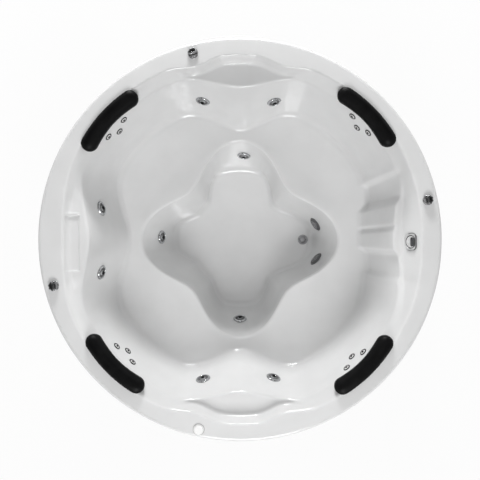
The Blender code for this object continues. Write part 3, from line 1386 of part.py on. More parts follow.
def make_suction_body(name, place):
    """The fixed body behind a suction cover."""
    bore = SUCTION_SPIGOT + SLIDE_GAP
    barrel = bore - TUBE_STEP
    top = nut_top()
    profile = solid_profile(
        (JET_NUT_RADIUS, -top),
        (JET_NUT_RADIUS, -top - JET_NUT_HEIGHT),
        (barrel + 4 * TUBE_STEP, -top - JET_NUT_HEIGHT),
        (barrel + 4 * TUBE_STEP, -SUCTION_BODY_DEPTH),
    )
    body = turned_piece(name, profile, JET_SIDES, None, place)
    hole = solid_profile(
        (clear_radius(SUCTION_SPIGOT, JET_SIDES), 0),
        (clear_radius(SUCTION_SPIGOT, JET_SIDES), -JET_SLEEVE_DEPTH - TOUCH_GAP),
    )
    return body, turned_piece(name + "_bore", hole, JET_SIDES, None, place)


def make_suction_line(material):
    """The pipe from both suction fittings to the pump's inlet."""
    places = suction_places()
    ends = {name: place @ Vector((0, 0, -SUCTION_BODY_DEPTH + TUBE_STEP)) for name, place in places.items()}
    north_bend = polar(SUCTION_BEND_RADIUS_OUT, SUCTION_SPOTS["north"][0], SUCTION_PIPE_HEIGHT)
    south_bend = polar(SUCTION_BEND_RADIUS_OUT, SUCTION_SPOTS["south"][0], SUCTION_PIPE_HEIGHT)
    reach = PUMP_VOLUTE_LENGTH / 2 + PUMP_PORT_LENGTH + TOUCH_GAP
    inlet = pump_middle() + sideways(PUMP_BEARING) * reach
    before = inlet + sideways(PUMP_BEARING) * PUMP_PORT_LENGTH
    route = [ends["north"], north_bend, south_bend, before, inlet]
    line = pipe("suction_line", route, SUCTION_PIPE_RADIUS, material)
    pieces, holes = [], []
    for name, place in places.items():
        body, hole = make_suction_body("suction_body_" + name, place)
        pieces.append(body)
        holes.append(hole)
    pieces.append(rod("suction_south", ends["south"], south_bend, SUCTION_PIPE_RADIUS - TUBE_STEP, None))
    return cut(fuse(line, *pieces), *holes)


def make_waste_line(material):
    """The pipe from the waste and the overflow to the outlet on the east side."""
    top = Vector((WASTE_RADIUS_OUT, 0, FLOOR_HEIGHT - WASTE_BARREL_DEPTH - TOUCH_GAP))
    corner = Vector((WASTE_RADIUS_OUT, 0, WASTE_PIPE_HEIGHT))
    outlet = Vector((WASTE_OUTLET_RADIUS_OUT, 0, WASTE_PIPE_HEIGHT))
    line = pipe("waste_line", [top, corner, outlet], WASTE_PIPE_RADIUS, material)
    place = overflow_place()
    start = place @ Vector((0, 0, -OVERFLOW_BARREL_DEPTH - TOUCH_GAP))
    onward = place @ Vector((0, 0, -OVERFLOW_BARREL_DEPTH - WASTE_PIPE_RADIUS))
    down = Vector((OVERFLOW_PIPE_RADIUS_OUT, 0, onward.z - WASTE_PIPE_RADIUS))
    low = Vector((OVERFLOW_PIPE_RADIUS_OUT, 0, WASTE_PIPE_HEIGHT))
    overflow = pipe("overflow_drop", [start, onward, down, low], WASTE_PIPE_RADIUS - TUBE_STEP, None)
    bore_start = outlet - Vector((2 * WASTE_PIPE_RADIUS, 0, 0))
    bore = rod("outlet_bore", bore_start, outlet + Vector((CUTTER_OVERRUN, 0, 0)), WASTE_OUTLET_BORE, None)
    return cut(fuse(line, overflow), bore)


def attach(child, parent):
    bpy.context.view_layer.update()
    child.parent = parent
    child.matrix_parent_inverse = parent.matrix_world.inverted()


def make_materials():
    return {
        "acrylic": make_material("white_acrylic", (0.78, 0.79, 0.79), 0.12, coat=0.5),
        "cushion": make_material("black_cushion", (0.02, 0.02, 0.022), 0.6),
        "chrome": make_material("chrome", (0.75, 0.76, 0.78), 0.08, 1.0),
        "nozzle": make_material("grey_nozzle", (0.30, 0.31, 0.32), 0.3),
        "grille": make_material("black_grille", (0.03, 0.03, 0.032), 0.45),
        "button": make_material("white_button", (0.85, 0.85, 0.84), 0.3),
        "collar": make_material("dark_collar", (0.08, 0.08, 0.085), 0.35),
        "frame": make_material("galvanised_frame", (0.50, 0.52, 0.54), 0.45, 0.9),
        "foot": make_material("black_foot", (0.04, 0.04, 0.042), 0.55),
        "water": make_material("white_pipe", (0.82, 0.82, 0.80), 0.35),
        "air": make_material("grey_pipe", (0.45, 0.47, 0.48), 0.4),
        "volute": make_material("black_volute", (0.05, 0.05, 0.055), 0.4),
        "motor": make_material("painted_motor", (0.13, 0.20, 0.30), 0.4, 0.3),
    }


def make_fittings(materials):
    """Every piece that sits in the shell."""
    for name, place in jet_places().items():
        bezel = make_bezel(name + "_bezel", place, materials["chrome"])
        attach(make_nozzle(name + "_nozzle", place, materials["nozzle"]), bezel)
    for name, place in neck_places().items():
        make_neck_jet(name, place, materials["chrome"])
    for name, place in suction_places().items():
        make_suction_cover("suction_cover_" + name, place, materials["grille"])
    make_waste(materials["chrome"])
    make_plug(materials["chrome"])
    make_overflow_cover(materials["chrome"])
    make_overflow_knob(materials["chrome"])
    for name, bearing in AIR_CONTROL_BEARINGS.items():
        make_air_knob("air_knob_" + name, bearing, materials["chrome"])
    make_button_bezel(materials["collar"])
    make_button_cap(materials["button"])


def build():
    clear_scene()
    materials = make_materials()
    make_shell(materials["acrylic"])
    for seat, bearing in SEAT_BEARINGS.items():
        make_pillow("pillow_" + seat, bearing, materials["cushion"])
    make_fittings(materials)
    make_frame(materials["frame"])
    for number, bearing in enumerate(post_bearings(), start=1):
        make_foot(number, bearing, materials["foot"])
    make_water_main(materials["water"])
    make_air_main(materials["air"])
    make_pump_wet_end(materials["volute"])
    make_motor(materials["motor"])
    make_suction_line(materials["water"])
    make_waste_line(materials["air"])


build()
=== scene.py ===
"""The looks of a round drop-in acrylic hot tub, two metres across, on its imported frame.

Metres, +Z up, the origin on the floor under the middle of the tub. A bearing is an angle in degrees
about the tub's axis, from +X towards +Y. Only the sections and profiles of turned parts, which are
pairs of radius and height, and the headrests' section are in millimetres.
"""

import math

import bmesh
import bpy
import numpy as np
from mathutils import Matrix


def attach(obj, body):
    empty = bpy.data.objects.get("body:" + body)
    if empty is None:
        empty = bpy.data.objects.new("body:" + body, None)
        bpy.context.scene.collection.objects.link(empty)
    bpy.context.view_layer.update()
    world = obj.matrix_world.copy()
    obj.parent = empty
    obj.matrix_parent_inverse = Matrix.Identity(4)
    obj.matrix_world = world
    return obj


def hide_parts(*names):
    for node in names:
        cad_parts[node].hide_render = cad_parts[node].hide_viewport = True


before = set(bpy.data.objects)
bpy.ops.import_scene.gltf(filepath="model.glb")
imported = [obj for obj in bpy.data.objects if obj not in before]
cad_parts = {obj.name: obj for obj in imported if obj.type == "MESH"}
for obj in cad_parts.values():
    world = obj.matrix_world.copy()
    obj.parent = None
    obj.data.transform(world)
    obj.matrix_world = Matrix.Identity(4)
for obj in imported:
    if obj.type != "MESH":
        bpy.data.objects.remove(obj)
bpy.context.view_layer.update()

# The photograph's camera. It looks straight down on the middle of the rim from about four metres,
# with the image's top towards +Y. The rim fills 405 of the picture's 480 pixels.
RIM_RADIUS, RIM_HEIGHT = 1.0, 0.9
CAMERA_ABOVE_RIM, PICTURE_WIDTH_AT_RIM, CAMERA_SHIFT_SOUTH = 4.2, 2.371, -0.0025
SENSOR_WIDTH = 36.0


def new_object(name, data):
    """An object in the scene, at the origin."""
    made = bpy.data.objects.new(name, data)
    bpy.context.scene.collection.objects.link(made)
    return made


camera_data = bpy.data.cameras.new("camera")
camera_data.sensor_width = SENSOR_WIDTH
camera_data.lens = SENSOR_WIDTH * CAMERA_ABOVE_RIM / PICTURE_WIDTH_AT_RIM
camera = new_object("camera", camera_data)
camera.location = (0, CAMERA_SHIFT_SOUTH, RIM_HEIGHT + CAMERA_ABOVE_RIM)
bpy.context.scene.camera = camera
bpy.context.scene.view_settings.view_transform = "Standard"

# The studio: a pale floor that runs up into a pale surround, and soft lamps. The key lamp stands
# beyond the image's bottom edge, so the north walls are bright. A low soft lamp in the north
# lights the upper parts of the south walls.
FLOOR_HALF_SIZE, FLOOR_COLOUR = 7.0, (0.93, 0.93, 0.93)
FLOOR_GLOW, FLOOR_GLOW_SHARE = 0.99, 0.93


def add_node(tree, kind, sockets, **settings):
    """A new shader node. A socket gets a value, or a link where it is given another node's output."""
    made = tree.nodes.new("ShaderNode" + kind)
    for name, value in settings.items():
        setattr(made, name, value)
    for name, value in sockets.items():
        if isinstance(value, bpy.types.NodeSocket):
            tree.links.new(value, made.inputs[name])
        else:
            made.inputs[name].default_value = value
    return made


def principled(name, colour, roughness, metallic=0.0):
    """A new Principled material, with its node tree and its shader."""
    material = bpy.data.materials.new(name)
    material.use_nodes = True
    shader = material.node_tree.nodes["Principled BSDF"]
    shader.inputs["Base Color"].default_value = (*colour, 1)
    shader.inputs["Roughness"].default_value = roughness
    shader.inputs["Metallic"].default_value = metallic
    return material, material.node_tree, shader


def floor_material():
    """A matt white floor that glows a little to the camera and in reflections, and keeps its shadow."""
    material, tree, shader = principled("studio_floor", FLOOR_COLOUR, 0.9)
    rays = add_node(tree, "LightPath", {}).outputs
    sockets = {0: rays["Is Camera Ray"], 1: rays["Is Glossy Ray"]}
    seen = add_node(tree, "Math", sockets, operation="MAXIMUM")
    sockets = {0: seen.outputs[0], 1: rays["Is Transmission Ray"]}
    seen = add_node(tree, "Math", sockets, operation="MAXIMUM")
    share = add_node(tree, "Math", {0: seen.outputs[0], 1: FLOOR_GLOW_SHARE}, operation="MULTIPLY")
    glow = add_node(tree, "Emission", {"Color": (FLOOR_GLOW, FLOOR_GLOW, FLOOR_GLOW, 1)})
    sockets = {0: share.outputs[0], 1: shader.outputs[0], 2: glow.outputs[0]}
    mix = add_node(tree, "MixShader", sockets)
    tree.links.new(mix.outputs[0], tree.nodes["Material Output"].inputs["Surface"])
    return material


floor_mesh = bpy.data.meshes.new("studio_floor")
signs = ((-1, -1), (1, -1), (1, 1), (-1, 1))
corners = [(x * FLOOR_HALF_SIZE, y * FLOOR_HALF_SIZE, 0) for x, y in signs]
floor_mesh.from_pydata(corners, [], [(0, 1, 2, 3)])
floor_mesh.materials.append(floor_material())
new_object("studio_floor", floor_mesh)

# The lamps: place and size in metres, and power in watts.
LAMPS = {
    "key_lamp": ((0.2, -4.1, 4.5), (2.2, 2.2), 158.0),
    "low_lamp": ((-0.3, 5.0, 2.1), (1.8, 0.7), 225.0),
    "top_lamp": ((0.0, 0.0, 6.5), (3.0, 3.0), 25.0),
}
AIM_HEIGHT = 0.6
WORLD_STRENGTH = 0.32
WALL_GLOSS, CEILING_GLOSS, CEILING_FROM, CEILING_TO = 0.75, 0.03, 0.55, 0.90

for name, (place, size, power) in LAMPS.items():
    lamp = bpy.data.lights.new(name, "AREA")
    lamp.shape = "RECTANGLE"
    lamp.size, lamp.size_y = size
    lamp.energy = power
    holder = new_object(name, lamp)
    holder.location = place
    x, y, z = place[0], place[1], place[2] - AIM_HEIGHT
    holder.rotation_euler = (math.atan2(math.hypot(x, y), z), 0, math.atan2(x, -y) if x or y else 0)


def surround():
    """White to the camera. Reflections see it darken overhead, as a studio's ceiling is. It lights evenly."""
    world = bpy.data.worlds.new("studio")
    world.use_nodes = True
    tree = world.node_tree
    background = tree.nodes["Background"]
    background.inputs["Color"].default_value = (1, 1, 1, 1)
    rays = add_node(tree, "LightPath", {}).outputs
    split = add_node(tree, "SeparateXYZ", {0: add_node(tree, "TexCoord", {}).outputs["Generated"]})
    sockets = {"Value": split.outputs["Z"], "From Min": CEILING_FROM, "From Max": CEILING_TO}
    sockets |= {"To Min": WALL_GLOSS, "To Max": CEILING_GLOSS}
    height = add_node(tree, "MapRange", sockets)
    sockets = {"Factor": rays["Is Glossy Ray"], "A": WORLD_STRENGTH, "B": height.outputs["Result"]}
    glossy = add_node(tree, "Mix", sockets)
    sockets = {"Factor": rays["Is Camera Ray"], "A": glossy.outputs["Result"], "B": 1.0}
    seen = add_node(tree, "Mix", sockets)
    tree.links.new(seen.outputs["Result"], background.inputs["Strength"])
    bpy.context.scene.world = world


surround()

# The shell: one sheet of white acrylic, drawn down over a mould and backed with glass fibre.
# Its section is worked out for every bearing: a four-lobed footwell, seats with backs that swing
# in at the dividers, ledges on the dividers, ribs in the east step, and a rolled rim.
SHELL_WALL, LIP_DROP = 0.010, 0.042
FLOOR_HEIGHT, SEAT_HEIGHT, SEAT_DISH = 0.120, 0.470, 0.014
LEDGE_HEIGHT, LEDGE_FALL, BROW_RISE = 0.830, 0.008, 0.040
WEST_LEDGE_RISE, EAST_LEDGE_DROP = 0.045, 0.035
FLOOR_WAIST = 0.283
# Each lobe of the floor: bearing, rise above the waist, half width, soft edge.
FLOOR_LOBES = (
    (-1.0, 0.130, 26.0, 40.0), (90.0, 0.130, 29.5, 30.0),
    (178.2, 0.093, 19.5, 24.0), (270.0, 0.099, 25.0, 28.0),
)
WELL_RADIUS, WELL_LOBE = 0.455, 0.079
BACK_FOOT_RADIUS, BACK_TOP_RADIUS = 0.745, 0.856
LEDGE_OUTER_RADIUS, RIM_INNER_RADIUS = 0.886, 0.911
END_DIVIDER_FOOT, END_DIVIDER_TOP = 0.145, 0.092
WEST_DIVIDER_FOOT, WEST_DIVIDER_TOP = 0.145, 0.105
EAST_STEP_FOOT, EAST_STEP_TOP, EAST_STEP_LEDGE = 0.080, 0.071, 0.066
EAST_RIM_DIP, WEST_RIM_DIP, WEST_LEDGE_DIP, BRACE_DIP = 0.012, 0.036, 0.031, 0.030
NORTH, WEST, SOUTH, EAST = 90.0, 180.0, 270.0, 0.0
END_FOOT_SPREAD, END_TOP_SPREAD = 26.0, 24.0
WEST_FOOT_SPREAD, WEST_TOP_SPREAD, WEST_RIM_SPREAD = 32.0, 27.0, 29.0
EAST_FOOT_SPREAD, EAST_TOP_SPREAD = 34.0, 28.0
LEDGE_LEVEL_SPREAD, LENS_REACH = 40.0, 5.0
BRACE_BEARING, BRACE_SPREAD = 14.5, 10.0
RIB_BEARINGS = (-4.8, 13.8)
RIB_PROUD, RIB_GROOVE, HOLLOW_DEPTH, RIB_TOP_SHARE, BACKING_DEPTH = 0.014, 0.013, 0.023, 0.6, 0.030
HOLLOW_REACH, RIB_BLEND, BACKING_BLEND, GROOVE_SPREAD = 9.4, 3.2, 8.0, 1.8
# Of each side of the sheet: the rows round each corner, and the rows down each straight run.
FILLETS = (0.032, 0.015, 0.060, 0.032, 0.012, 0.012, 0.010, 0.018)
SEEN_ROWS = ((9, 9, 3, 12, 6, 5, 6, 8), (5, 7, 3, 3, 8, 14, 2, 3, 3))
HIDDEN_ROWS = ((5, 4, 2, 7, 3, 2, 3, 3), (3, 5, 2, 2, 6, 2, 1, 2, 2))
# The bearings' step from each bearing on: finer at the ribs and at the tray.
BEARING_RUNS = ((-30.0, 0.5), (30.0, 1.0), (168.0, 0.25), (193.0, 1.0), (330.0, None))
# The west ledge has a shallow tray with a soft raised bar at its north end.
TRAY_RADIUS, TRAY_WIDTH, TRAY_LENGTH, TRAY_SHIFT = 0.834, 0.066, 0.275, -0.018
TRAY_DEPTH, TRAY_EDGE, TRAY_LOWEST = 0.005, 0.007, 0.86
TRAY_BAR_HEIGHT, TRAY_BAR_WIDTH = 0.0045, 0.014
ACRYLIC_TONES = ((0.785, 0.787, 0.787), (0.815, 0.817, 0.817))
ACRYLIC_COAT, ACRYLIC_COAT_ROUGHNESS = 0.35, 0.04
FIBRE_TONES = ((0.60, 0.58, 0.50), (0.76, 0.74, 0.66))


def away_from(bearings, centre):
    """Degrees from a centre bearing, whichever way round is shorter."""
    return np.abs((bearings - centre + 180) % 360 - 180)


def bump(bearings, centre, spread):
    """A raised cosine, (1 + cos(pi d / spread)) / 2 of the distance d from the centre bearing."""
    return 0.5 + 0.5 * np.cos(np.pi * np.minimum(away_from(bearings, centre) / spread, 1))


def plateau(place, low, high, blend):
    """1 between low and high and 0 outside, with an edge 3t^2 - 2t^3 as wide as the blend."""
    rise = np.clip((place - low) / blend + 0.5, 0, 1)
    fall = np.clip((high - place) / blend + 0.5, 0, 1)
    share = np.minimum(rise, fall)
    return share * share * (3 - 2 * share)


def east_ribs(bearings):
    """How far the east wall's foot moves in: out on two ribs, back in the groove and the hollows."""
    low, high = RIB_BEARINGS
    east = (bearings + 180) % 360 - 180
    ribs = plateau(east, low, high, RIB_BLEND)
    groove = bump(bearings, (low + high) / 2, GROOVE_SPREAD)
    hollows = plateau(east, low - HOLLOW_REACH, low, RIB_BLEND)
    hollows = hollows + plateau(east, high, high + HOLLOW_REACH, RIB_BLEND)
    return RIB_PROUD * ribs - RIB_GROOVE * groove - HOLLOW_DEPTH * hollows


def east_backing(bearings):
    """Behind the ribs the hidden side is one smooth bulge that clears the hollows."""
    low, high = RIB_BEARINGS
    reach = HOLLOW_REACH + BACKING_BLEND / 2
    east = (bearings + 180) % 360 - 180
    return -BACKING_DEPTH * plateau(east, low - reach, high + reach, BACKING_BLEND)


def shell_corners(bearings, ribs=east_ribs):
    """Radius and height of the section's corners: base values less a raised cosine per divider."""
    level = np.ones_like(bearings)
    lobes = np.cos(np.radians(4 * bearings))
    ends_foot = bump(bearings, NORTH, END_FOOT_SPREAD) + bump(bearings, SOUTH, END_FOOT_SPREAD)
    ends_top = bump(bearings, NORTH, END_TOP_SPREAD) + bump(bearings, SOUTH, END_TOP_SPREAD)
    west_top = bump(bearings, WEST, WEST_TOP_SPREAD)
    west_rim = bump(bearings, WEST, WEST_RIM_SPREAD)
    east_top = bump(bearings, EAST, EAST_TOP_SPREAD)
    braces = [end + shift for end in (NORTH, SOUTH) for shift in (-BRACE_BEARING, BRACE_BEARING)]
    brace = sum(bump(bearings, centre, BRACE_SPREAD) for centre in braces)
    floor = FLOOR_WAIST + sum(
        rise * plateau(away_from(bearings, centre), -360, half_width, blend)
        for centre, rise, half_width, blend in FLOOR_LOBES
    )
    well = WELL_RADIUS + WELL_LOBE * lobes
    foot = BACK_FOOT_RADIUS - END_DIVIDER_FOOT * ends_foot
    foot = foot - WEST_DIVIDER_FOOT * bump(bearings, WEST, WEST_FOOT_SPREAD)
    foot = foot - EAST_STEP_FOOT * bump(bearings, EAST, EAST_FOOT_SPREAD) - ribs(bearings)
    top = BACK_TOP_RADIUS - END_DIVIDER_TOP * ends_top - WEST_DIVIDER_TOP * west_top
    top = top - EAST_STEP_TOP * east_top - RIB_TOP_SHARE * ribs(bearings)
    ledge = LEDGE_OUTER_RADIUS - BRACE_DIP * brace - WEST_LEDGE_DIP * west_rim
    ledge = ledge - EAST_STEP_LEDGE * east_top
    rim = RIM_INNER_RADIUS - BRACE_DIP * brace - WEST_RIM_DIP * west_rim - EAST_RIM_DIP * east_top
    shelf = np.minimum(1, LENS_REACH * ends_top + 2 * (west_top + east_top))
    ledge_level = LEDGE_HEIGHT + WEST_LEDGE_RISE * bump(bearings, WEST, LEDGE_LEVEL_SPREAD)
    ledge_level = ledge_level - EAST_LEDGE_DROP * bump(bearings, EAST, LEDGE_LEVEL_SPREAD)
    brow_level = ledge_level - LEDGE_FALL * ends_top + BROW_RISE * (1 - shelf)
    radii = [0 * level, floor, well, (well + foot) / 2, foot, top, ledge, rim]
    radii += [RIM_RADIUS * level] * 2
    heights = [FLOOR_HEIGHT * level, FLOOR_HEIGHT * level, SEAT_HEIGHT * level]
    heights += [SEAT_HEIGHT - SEAT_DISH * (1 - lobes) / 2, SEAT_HEIGHT * level, ledge_level]
    heights += [brow_level, RIM_HEIGHT * level, RIM_HEIGHT * level, (RIM_HEIGHT - LIP_DROP) * level]
    return np.array(radii), np.array(heights)


def hidden_corners(radii, heights):
    """The corners moved out by the wall: the mitre point of the two shifted runs at each corner."""
    along_r, along_z = np.diff(radii, axis=0), np.diff(heights, axis=0)
    length = np.hypot(along_r, along_z)
    normal_r, normal_z = along_z / length, -along_r / length
    moved_r, moved_z = radii.copy(), heights.copy()
    moved_z[0] -= SHELL_WALL
    moved_r[-1] -= SHELL_WALL
    facing_share = 1 + normal_r[1:] * normal_r[:-1] + normal_z[1:] * normal_z[:-1]
    moved_r[1:-1] += SHELL_WALL * (normal_r[1:] + normal_r[:-1]) / facing_share
    moved_z[1:-1] += SHELL_WALL * (normal_z[1:] + normal_z[:-1]) / facing_share
    return moved_r, moved_z


def section_rows(radii, heights, fillet_rows, straight_rows):
    """Rows down the section: straight runs, and (1-t)^2 A + 2t(1-t) C + t^2 B round each corner C."""
    points = np.stack([radii, heights])
    rows = []
    last = points[:, 0]
    for corner, (fillet, count) in enumerate(zip(FILLETS, fillet_rows), start=1):
        here = points[:, corner]
        ends = []
        for other in (corner - 1, corner + 1):
            run = points[:, other] - here
            length = np.hypot(*run)
            ends.append(here + run / length * np.minimum(fillet, 0.45 * length))
        for t in np.arange(1, straight_rows[corner - 1]) / straight_rows[corner - 1]:
            rows.append(last + t * (ends[0] - last))
        for t in np.linspace(0, 1, count):
            rows.append((1 - t) ** 2 * ends[0] + 2 * t * (1 - t) * here + t * t * ends[1])
        last = ends[1]
    for t in np.arange(1, straight_rows[-1] + 1) / straight_rows[-1]:
        rows.append(last + t * (points[:, -1] - last))
    return np.array(rows)


def tray_relief(x, y, z):
    """Height taken from the west ledge: a plateau over x and y, and a low bar at its north end."""
    across = plateau(-x, TRAY_RADIUS - TRAY_WIDTH / 2, TRAY_RADIUS + TRAY_WIDTH / 2, TRAY_EDGE)
    low, high = TRAY_SHIFT - TRAY_LENGTH / 2, TRAY_SHIFT + TRAY_LENGTH / 2
    along = plateau(y, low, high, TRAY_EDGE)
    bar = plateau(y, high, high + TRAY_BAR_WIDTH, TRAY_EDGE)
    on_ledge = (z > TRAY_LOWEST) & (z < RIM_HEIGHT - TRAY_DEPTH) & (x < 0)
    return on_ledge * across * (TRAY_BAR_HEIGHT * bar - TRAY_DEPTH * along)


def shell_grid():
    """Both sides of the moulding as one closed grid: rows down the section by columns of bearings."""
    runs = zip(BEARING_RUNS, BEARING_RUNS[1:])
    bearings = np.concatenate([np.arange(start, end, step) for (start, step), (end, _) in runs])
    seen = section_rows(*shell_corners(bearings), *SEEN_ROWS)
    hidden = section_rows(*hidden_corners(*shell_corners(bearings, east_backing)), *HIDDEN_ROWS)
    rows = np.concatenate([seen, hidden[::-1]])
    angles = np.radians(bearings)
    x, y, z = rows[:, 0] * np.cos(angles), rows[:, 0] * np.sin(angles), rows[:, 1]
    z[: len(seen)] += tray_relief(x[: len(seen)], y[: len(seen)], z[: len(seen)])
    return np.stack([x, y, z], axis=-1), len(seen)


def grid_faces(rows, columns):
    """Quads between neighbouring rows, and round from the last column to the first."""
    across, down = np.arange(columns), np.arange(rows - 1)[:, None] * columns
    here, beyond = down + across, down + (across + 1) % columns
    return np.stack([here, here + columns, beyond + columns, beyond], axis=-1).reshape(-1, 4)


def closed_tube(grid):
    """Points and faces of a grid whose rows are closed rings, with a point over each end ring."""
    rows, columns = grid.shape[:2]
    around, none = np.arange(columns), np.full(columns, -1)
    beyond = (around + 1) % columns
    last, pole = (rows - 1) * columns, np.full(columns, rows * columns)
    near = np.stack([pole, around, beyond, none], axis=-1)
    far = np.stack([pole + 1, last + beyond, last + around, none], axis=-1)
    points = np.concatenate([grid.reshape(-1, 3), grid[[0, -1]].mean(axis=1)])
    return points, np.concatenate([grid_faces(rows, columns), near, far])


def mesh_piece(name, points, faces, materials=(), slots=None):
    """A smooth mesh object from arrays, its faces turned outwards. A triangle's fourth corner is -1."""
    mesh = bpy.data.meshes.new(name)
    corners, counts = faces[faces >= 0].astype(np.int32), (faces >= 0).sum(axis=1)
    mesh.vertices.add(len(points))
    mesh.vertices.foreach_set("co", points.ravel())
    mesh.loops.add(len(corners))
    mesh.loops.foreach_set("vertex_index", corners)
    mesh.polygons.add(len(faces))
    mesh.polygons.foreach_set("loop_start", (np.cumsum(counts) - counts).astype(np.int32))
    mesh.update(calc_edges=True)
    for material in materials:
        mesh.materials.append(material)
    if slots is not None:
        mesh.polygons.foreach_set("material_index", np.asarray(slots, np.int32))
    shape = bmesh.new()
    shape.from_mesh(mesh)
    bmesh.ops.recalc_face_normals(shape, faces=shape.faces)
    if shape.calc_volume(signed=True) < 0:
        bmesh.ops.reverse_faces(shape, faces=shape.faces)
    shape.to_mesh(mesh)
    shape.free()
    mesh.shade_smooth()
    return new_object(name, mesh)


def stand_in(piece, body, node):
    """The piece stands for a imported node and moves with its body."""
    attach(piece, body)
    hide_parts(node)


def noise(tree, scale, detail=2.0):
    """A noise's level on Object coordinates."""
    place = add_node(tree, "TexCoord", {}).outputs["Object"]
    return add_node(tree, "TexNoise", {"Vector": place, "Scale": scale, "Detail": detail}).outputs["Fac"]


def spread_roughness(tree, shader, level, low, high):
    """Roughness that follows a level between two values."""
    spread = add_node(tree, "MapRange", {"Value": level, "To Min": low, "To Max": high})
    tree.links.new(spread.outputs["Result"], shader.inputs["Roughness"])


def patterned(name, tones, scale, rough, relief=None, metallic=0.0, detail=3.0):
    """Colour, roughness and relief that each wander with a noise on Object coordinates.

    rough is one value, or low, high and scale. relief is scale, strength and distance.
    """
    material, tree, shader = principled(name, tones[0], rough[0], metallic)
    ramp = add_node(tree, "ValToRGB", {"Fac": noise(tree, scale, detail)})
    for end, tone, position in zip(ramp.color_ramp.elements, tones, (0.35, 0.65)):
        end.color = (*tone, 1)
        end.position = position
    tree.links.new(ramp.outputs["Color"], shader.inputs["Base Color"])
    if relief:
        sockets = {"Height": noise(tree, relief[0]), "Strength": relief[1], "Distance": relief[2]}
        tree.links.new(add_node(tree, "Bump", sockets).outputs["Normal"], shader.inputs["Normal"])
    if len(rough) > 1:
        spread_roughness(tree, shader, noise(tree, rough[2]), rough[0], rough[1])
    return material, tree, shader


# White acrylic: faint clouding, a slightly wavy surface and a clear gloss. The backing is chopped
# glass strands in resin, rough and slightly yellow.
acrylic, _, shader = patterned("white_acrylic", ACRYLIC_TONES, 7.0, (0.10, 0.17, 4.0), (9.0, 0.10, 0.004))
shader.inputs["Coat Weight"].default_value = ACRYLIC_COAT
shader.inputs["Coat Roughness"].default_value = ACRYLIC_COAT_ROUGHNESS
fibre = patterned("glass_fibre_backing", FIBRE_TONES, 60.0, (0.55,), (120.0, 0.6, 0.004), detail=6.0)[0]
grid, seen_rows = shell_grid()
columns = grid.shape[1]
points, faces = closed_tube(grid)
slots = np.ones(len(faces), int)
slots[: (seen_rows + HIDDEN_ROWS[1][-1] - 1) * columns] = 0
slots[-2 * columns : -columns] = 0
shell = mesh_piece("tub_shell", points, faces, [acrylic, fibre], slots)
stand_in(shell, "tub", "shell")

# The nine large jets: a chrome-plated ring that turns in its body to set the flow, and a grey
# moulded ball with a black spout that tilts inside it. The spout's near-black bore is painted shade down the
# hole.
BACK_JETS = {
    "north_left": (105.0, 0.46), "north_right": (76.1, 0.46), "south_left": (255.2, 0.49),
    "south_right": (283.6, 0.48), "west_upper": (167.4, 0.58), "west_lower": (193.3, 0.57),
}
FOOT_JETS = {"north": (87.3, 0.53), "south": (270.0, 0.46), "west": (178.2, 0.45)}
# The section's corners that fittings are placed from, counted outwards from the middle of the floor.
FLOOR_EDGE, BACK_FOOT, LEDGE_OUTER = 1, 4, 6
SEAT_SINK, SEAT_GAP = 0.0015, 0.0003
JET_SEAT_RADIUS, JET_HOLE_RADIUS = 0.0394, 0.0270
RING_SECTION = (
    (16.3, -18), (21.5, -18), (21.5, 0.3), (38, 0.3), (38, 3.5), (35, 9.2), (30, 10.2), (27.2, 9.2),
    (26.2, 6.2), (20, 5.2), (14.2, 6), (16.3, -2),
)
RING_LOBES, RING_LOBE_DEPTH, RING_PLATED_FROM = 12, 0.020, 0.0268
BALL_RADIUS, BALL_DROP, BALL_FROM, BALL_TO, BALL_ROWS = 0.0155, 0.002, -62.0, 52.0, 17
SPOUT_SECTION = ((9.8, 13.5), (9.8, 18), (8, 18), (7.2, 17), (7.2, -13.6))
# Near black: the spout's colour, and painted shade down its bore.
SPOUT_AND_BORE_SHADE_TONES = ((0.008, 0.008, 0.009), (0.014, 0.014, 0.015))
JET_DISH_TONES = ((0.085, 0.086, 0.088), (0.130, 0.131, 0.134))
CHROME_TONES = ((0.50, 0.51, 0.52), (0.60, 0.61, 0.62))
NOZZLE_TONES = ((0.36, 0.37, 0.38), (0.46, 0.47, 0.48))


def unit(vector):
    return np.asarray(vector, float) / np.linalg.norm(vector)


def polar(radius, bearing, height=0.0):
    angle = math.radians(bearing)
    return np.array([radius * math.cos(angle), radius * math.sin(angle), height])


def facing(origin, normal=(0, 0, 1), along=(1, 0, 0)):
    """A placement as a 4 by 4 matrix: Z along the normal, X as near to the given direction as it can."""
    z = unit(normal)
    x = unit(along - z * np.dot(along, z))
    place = np.eye(4)
    place[:3, :3] = np.stack([x, np.cross(z, x), z], axis=1)
    place[:3, 3] = origin
    return place


def at(place, *local):
    """The tub's coordinates of points given in a placement's axes: an array, or one x, y and z."""
    local = local[0] if len(local) == 1 else np.array(local)
    return local @ place[:3, :3].T + place[:3, 3]


def shifted(place, *local):
    """A placement moved along its own axes."""
    moved = place.copy()
    moved[:3, 3] = at(place, *local)
    return moved


def wall_point(bearing, low, share):
    """A point on the straight run from one corner of the section to the next, at one bearing."""
    radii, heights = shell_corners(np.array([float(bearing)]))
    radius = radii[low, 0] + share * (radii[low + 1, 0] - radii[low, 0])
    return polar(radius, bearing, heights[low, 0] + share * (heights[low + 1, 0] - heights[low, 0]))


def wall_place(bearing, low, share, sink):
    """A fitting's seat on a wall: Z points into the tub, X runs level along the wall."""
    around = wall_point(bearing + 0.5, low, share) - wall_point(bearing - 0.5, low, share)
    upward = wall_point(bearing, low, share + 0.05) - wall_point(bearing, low, share - 0.05)
    normal = unit(np.cross(around, upward))
    normal = -normal if normal @ polar(1, bearing) > 0 else normal
    return facing(wall_point(bearing, low, share) - normal * sink, normal, around)


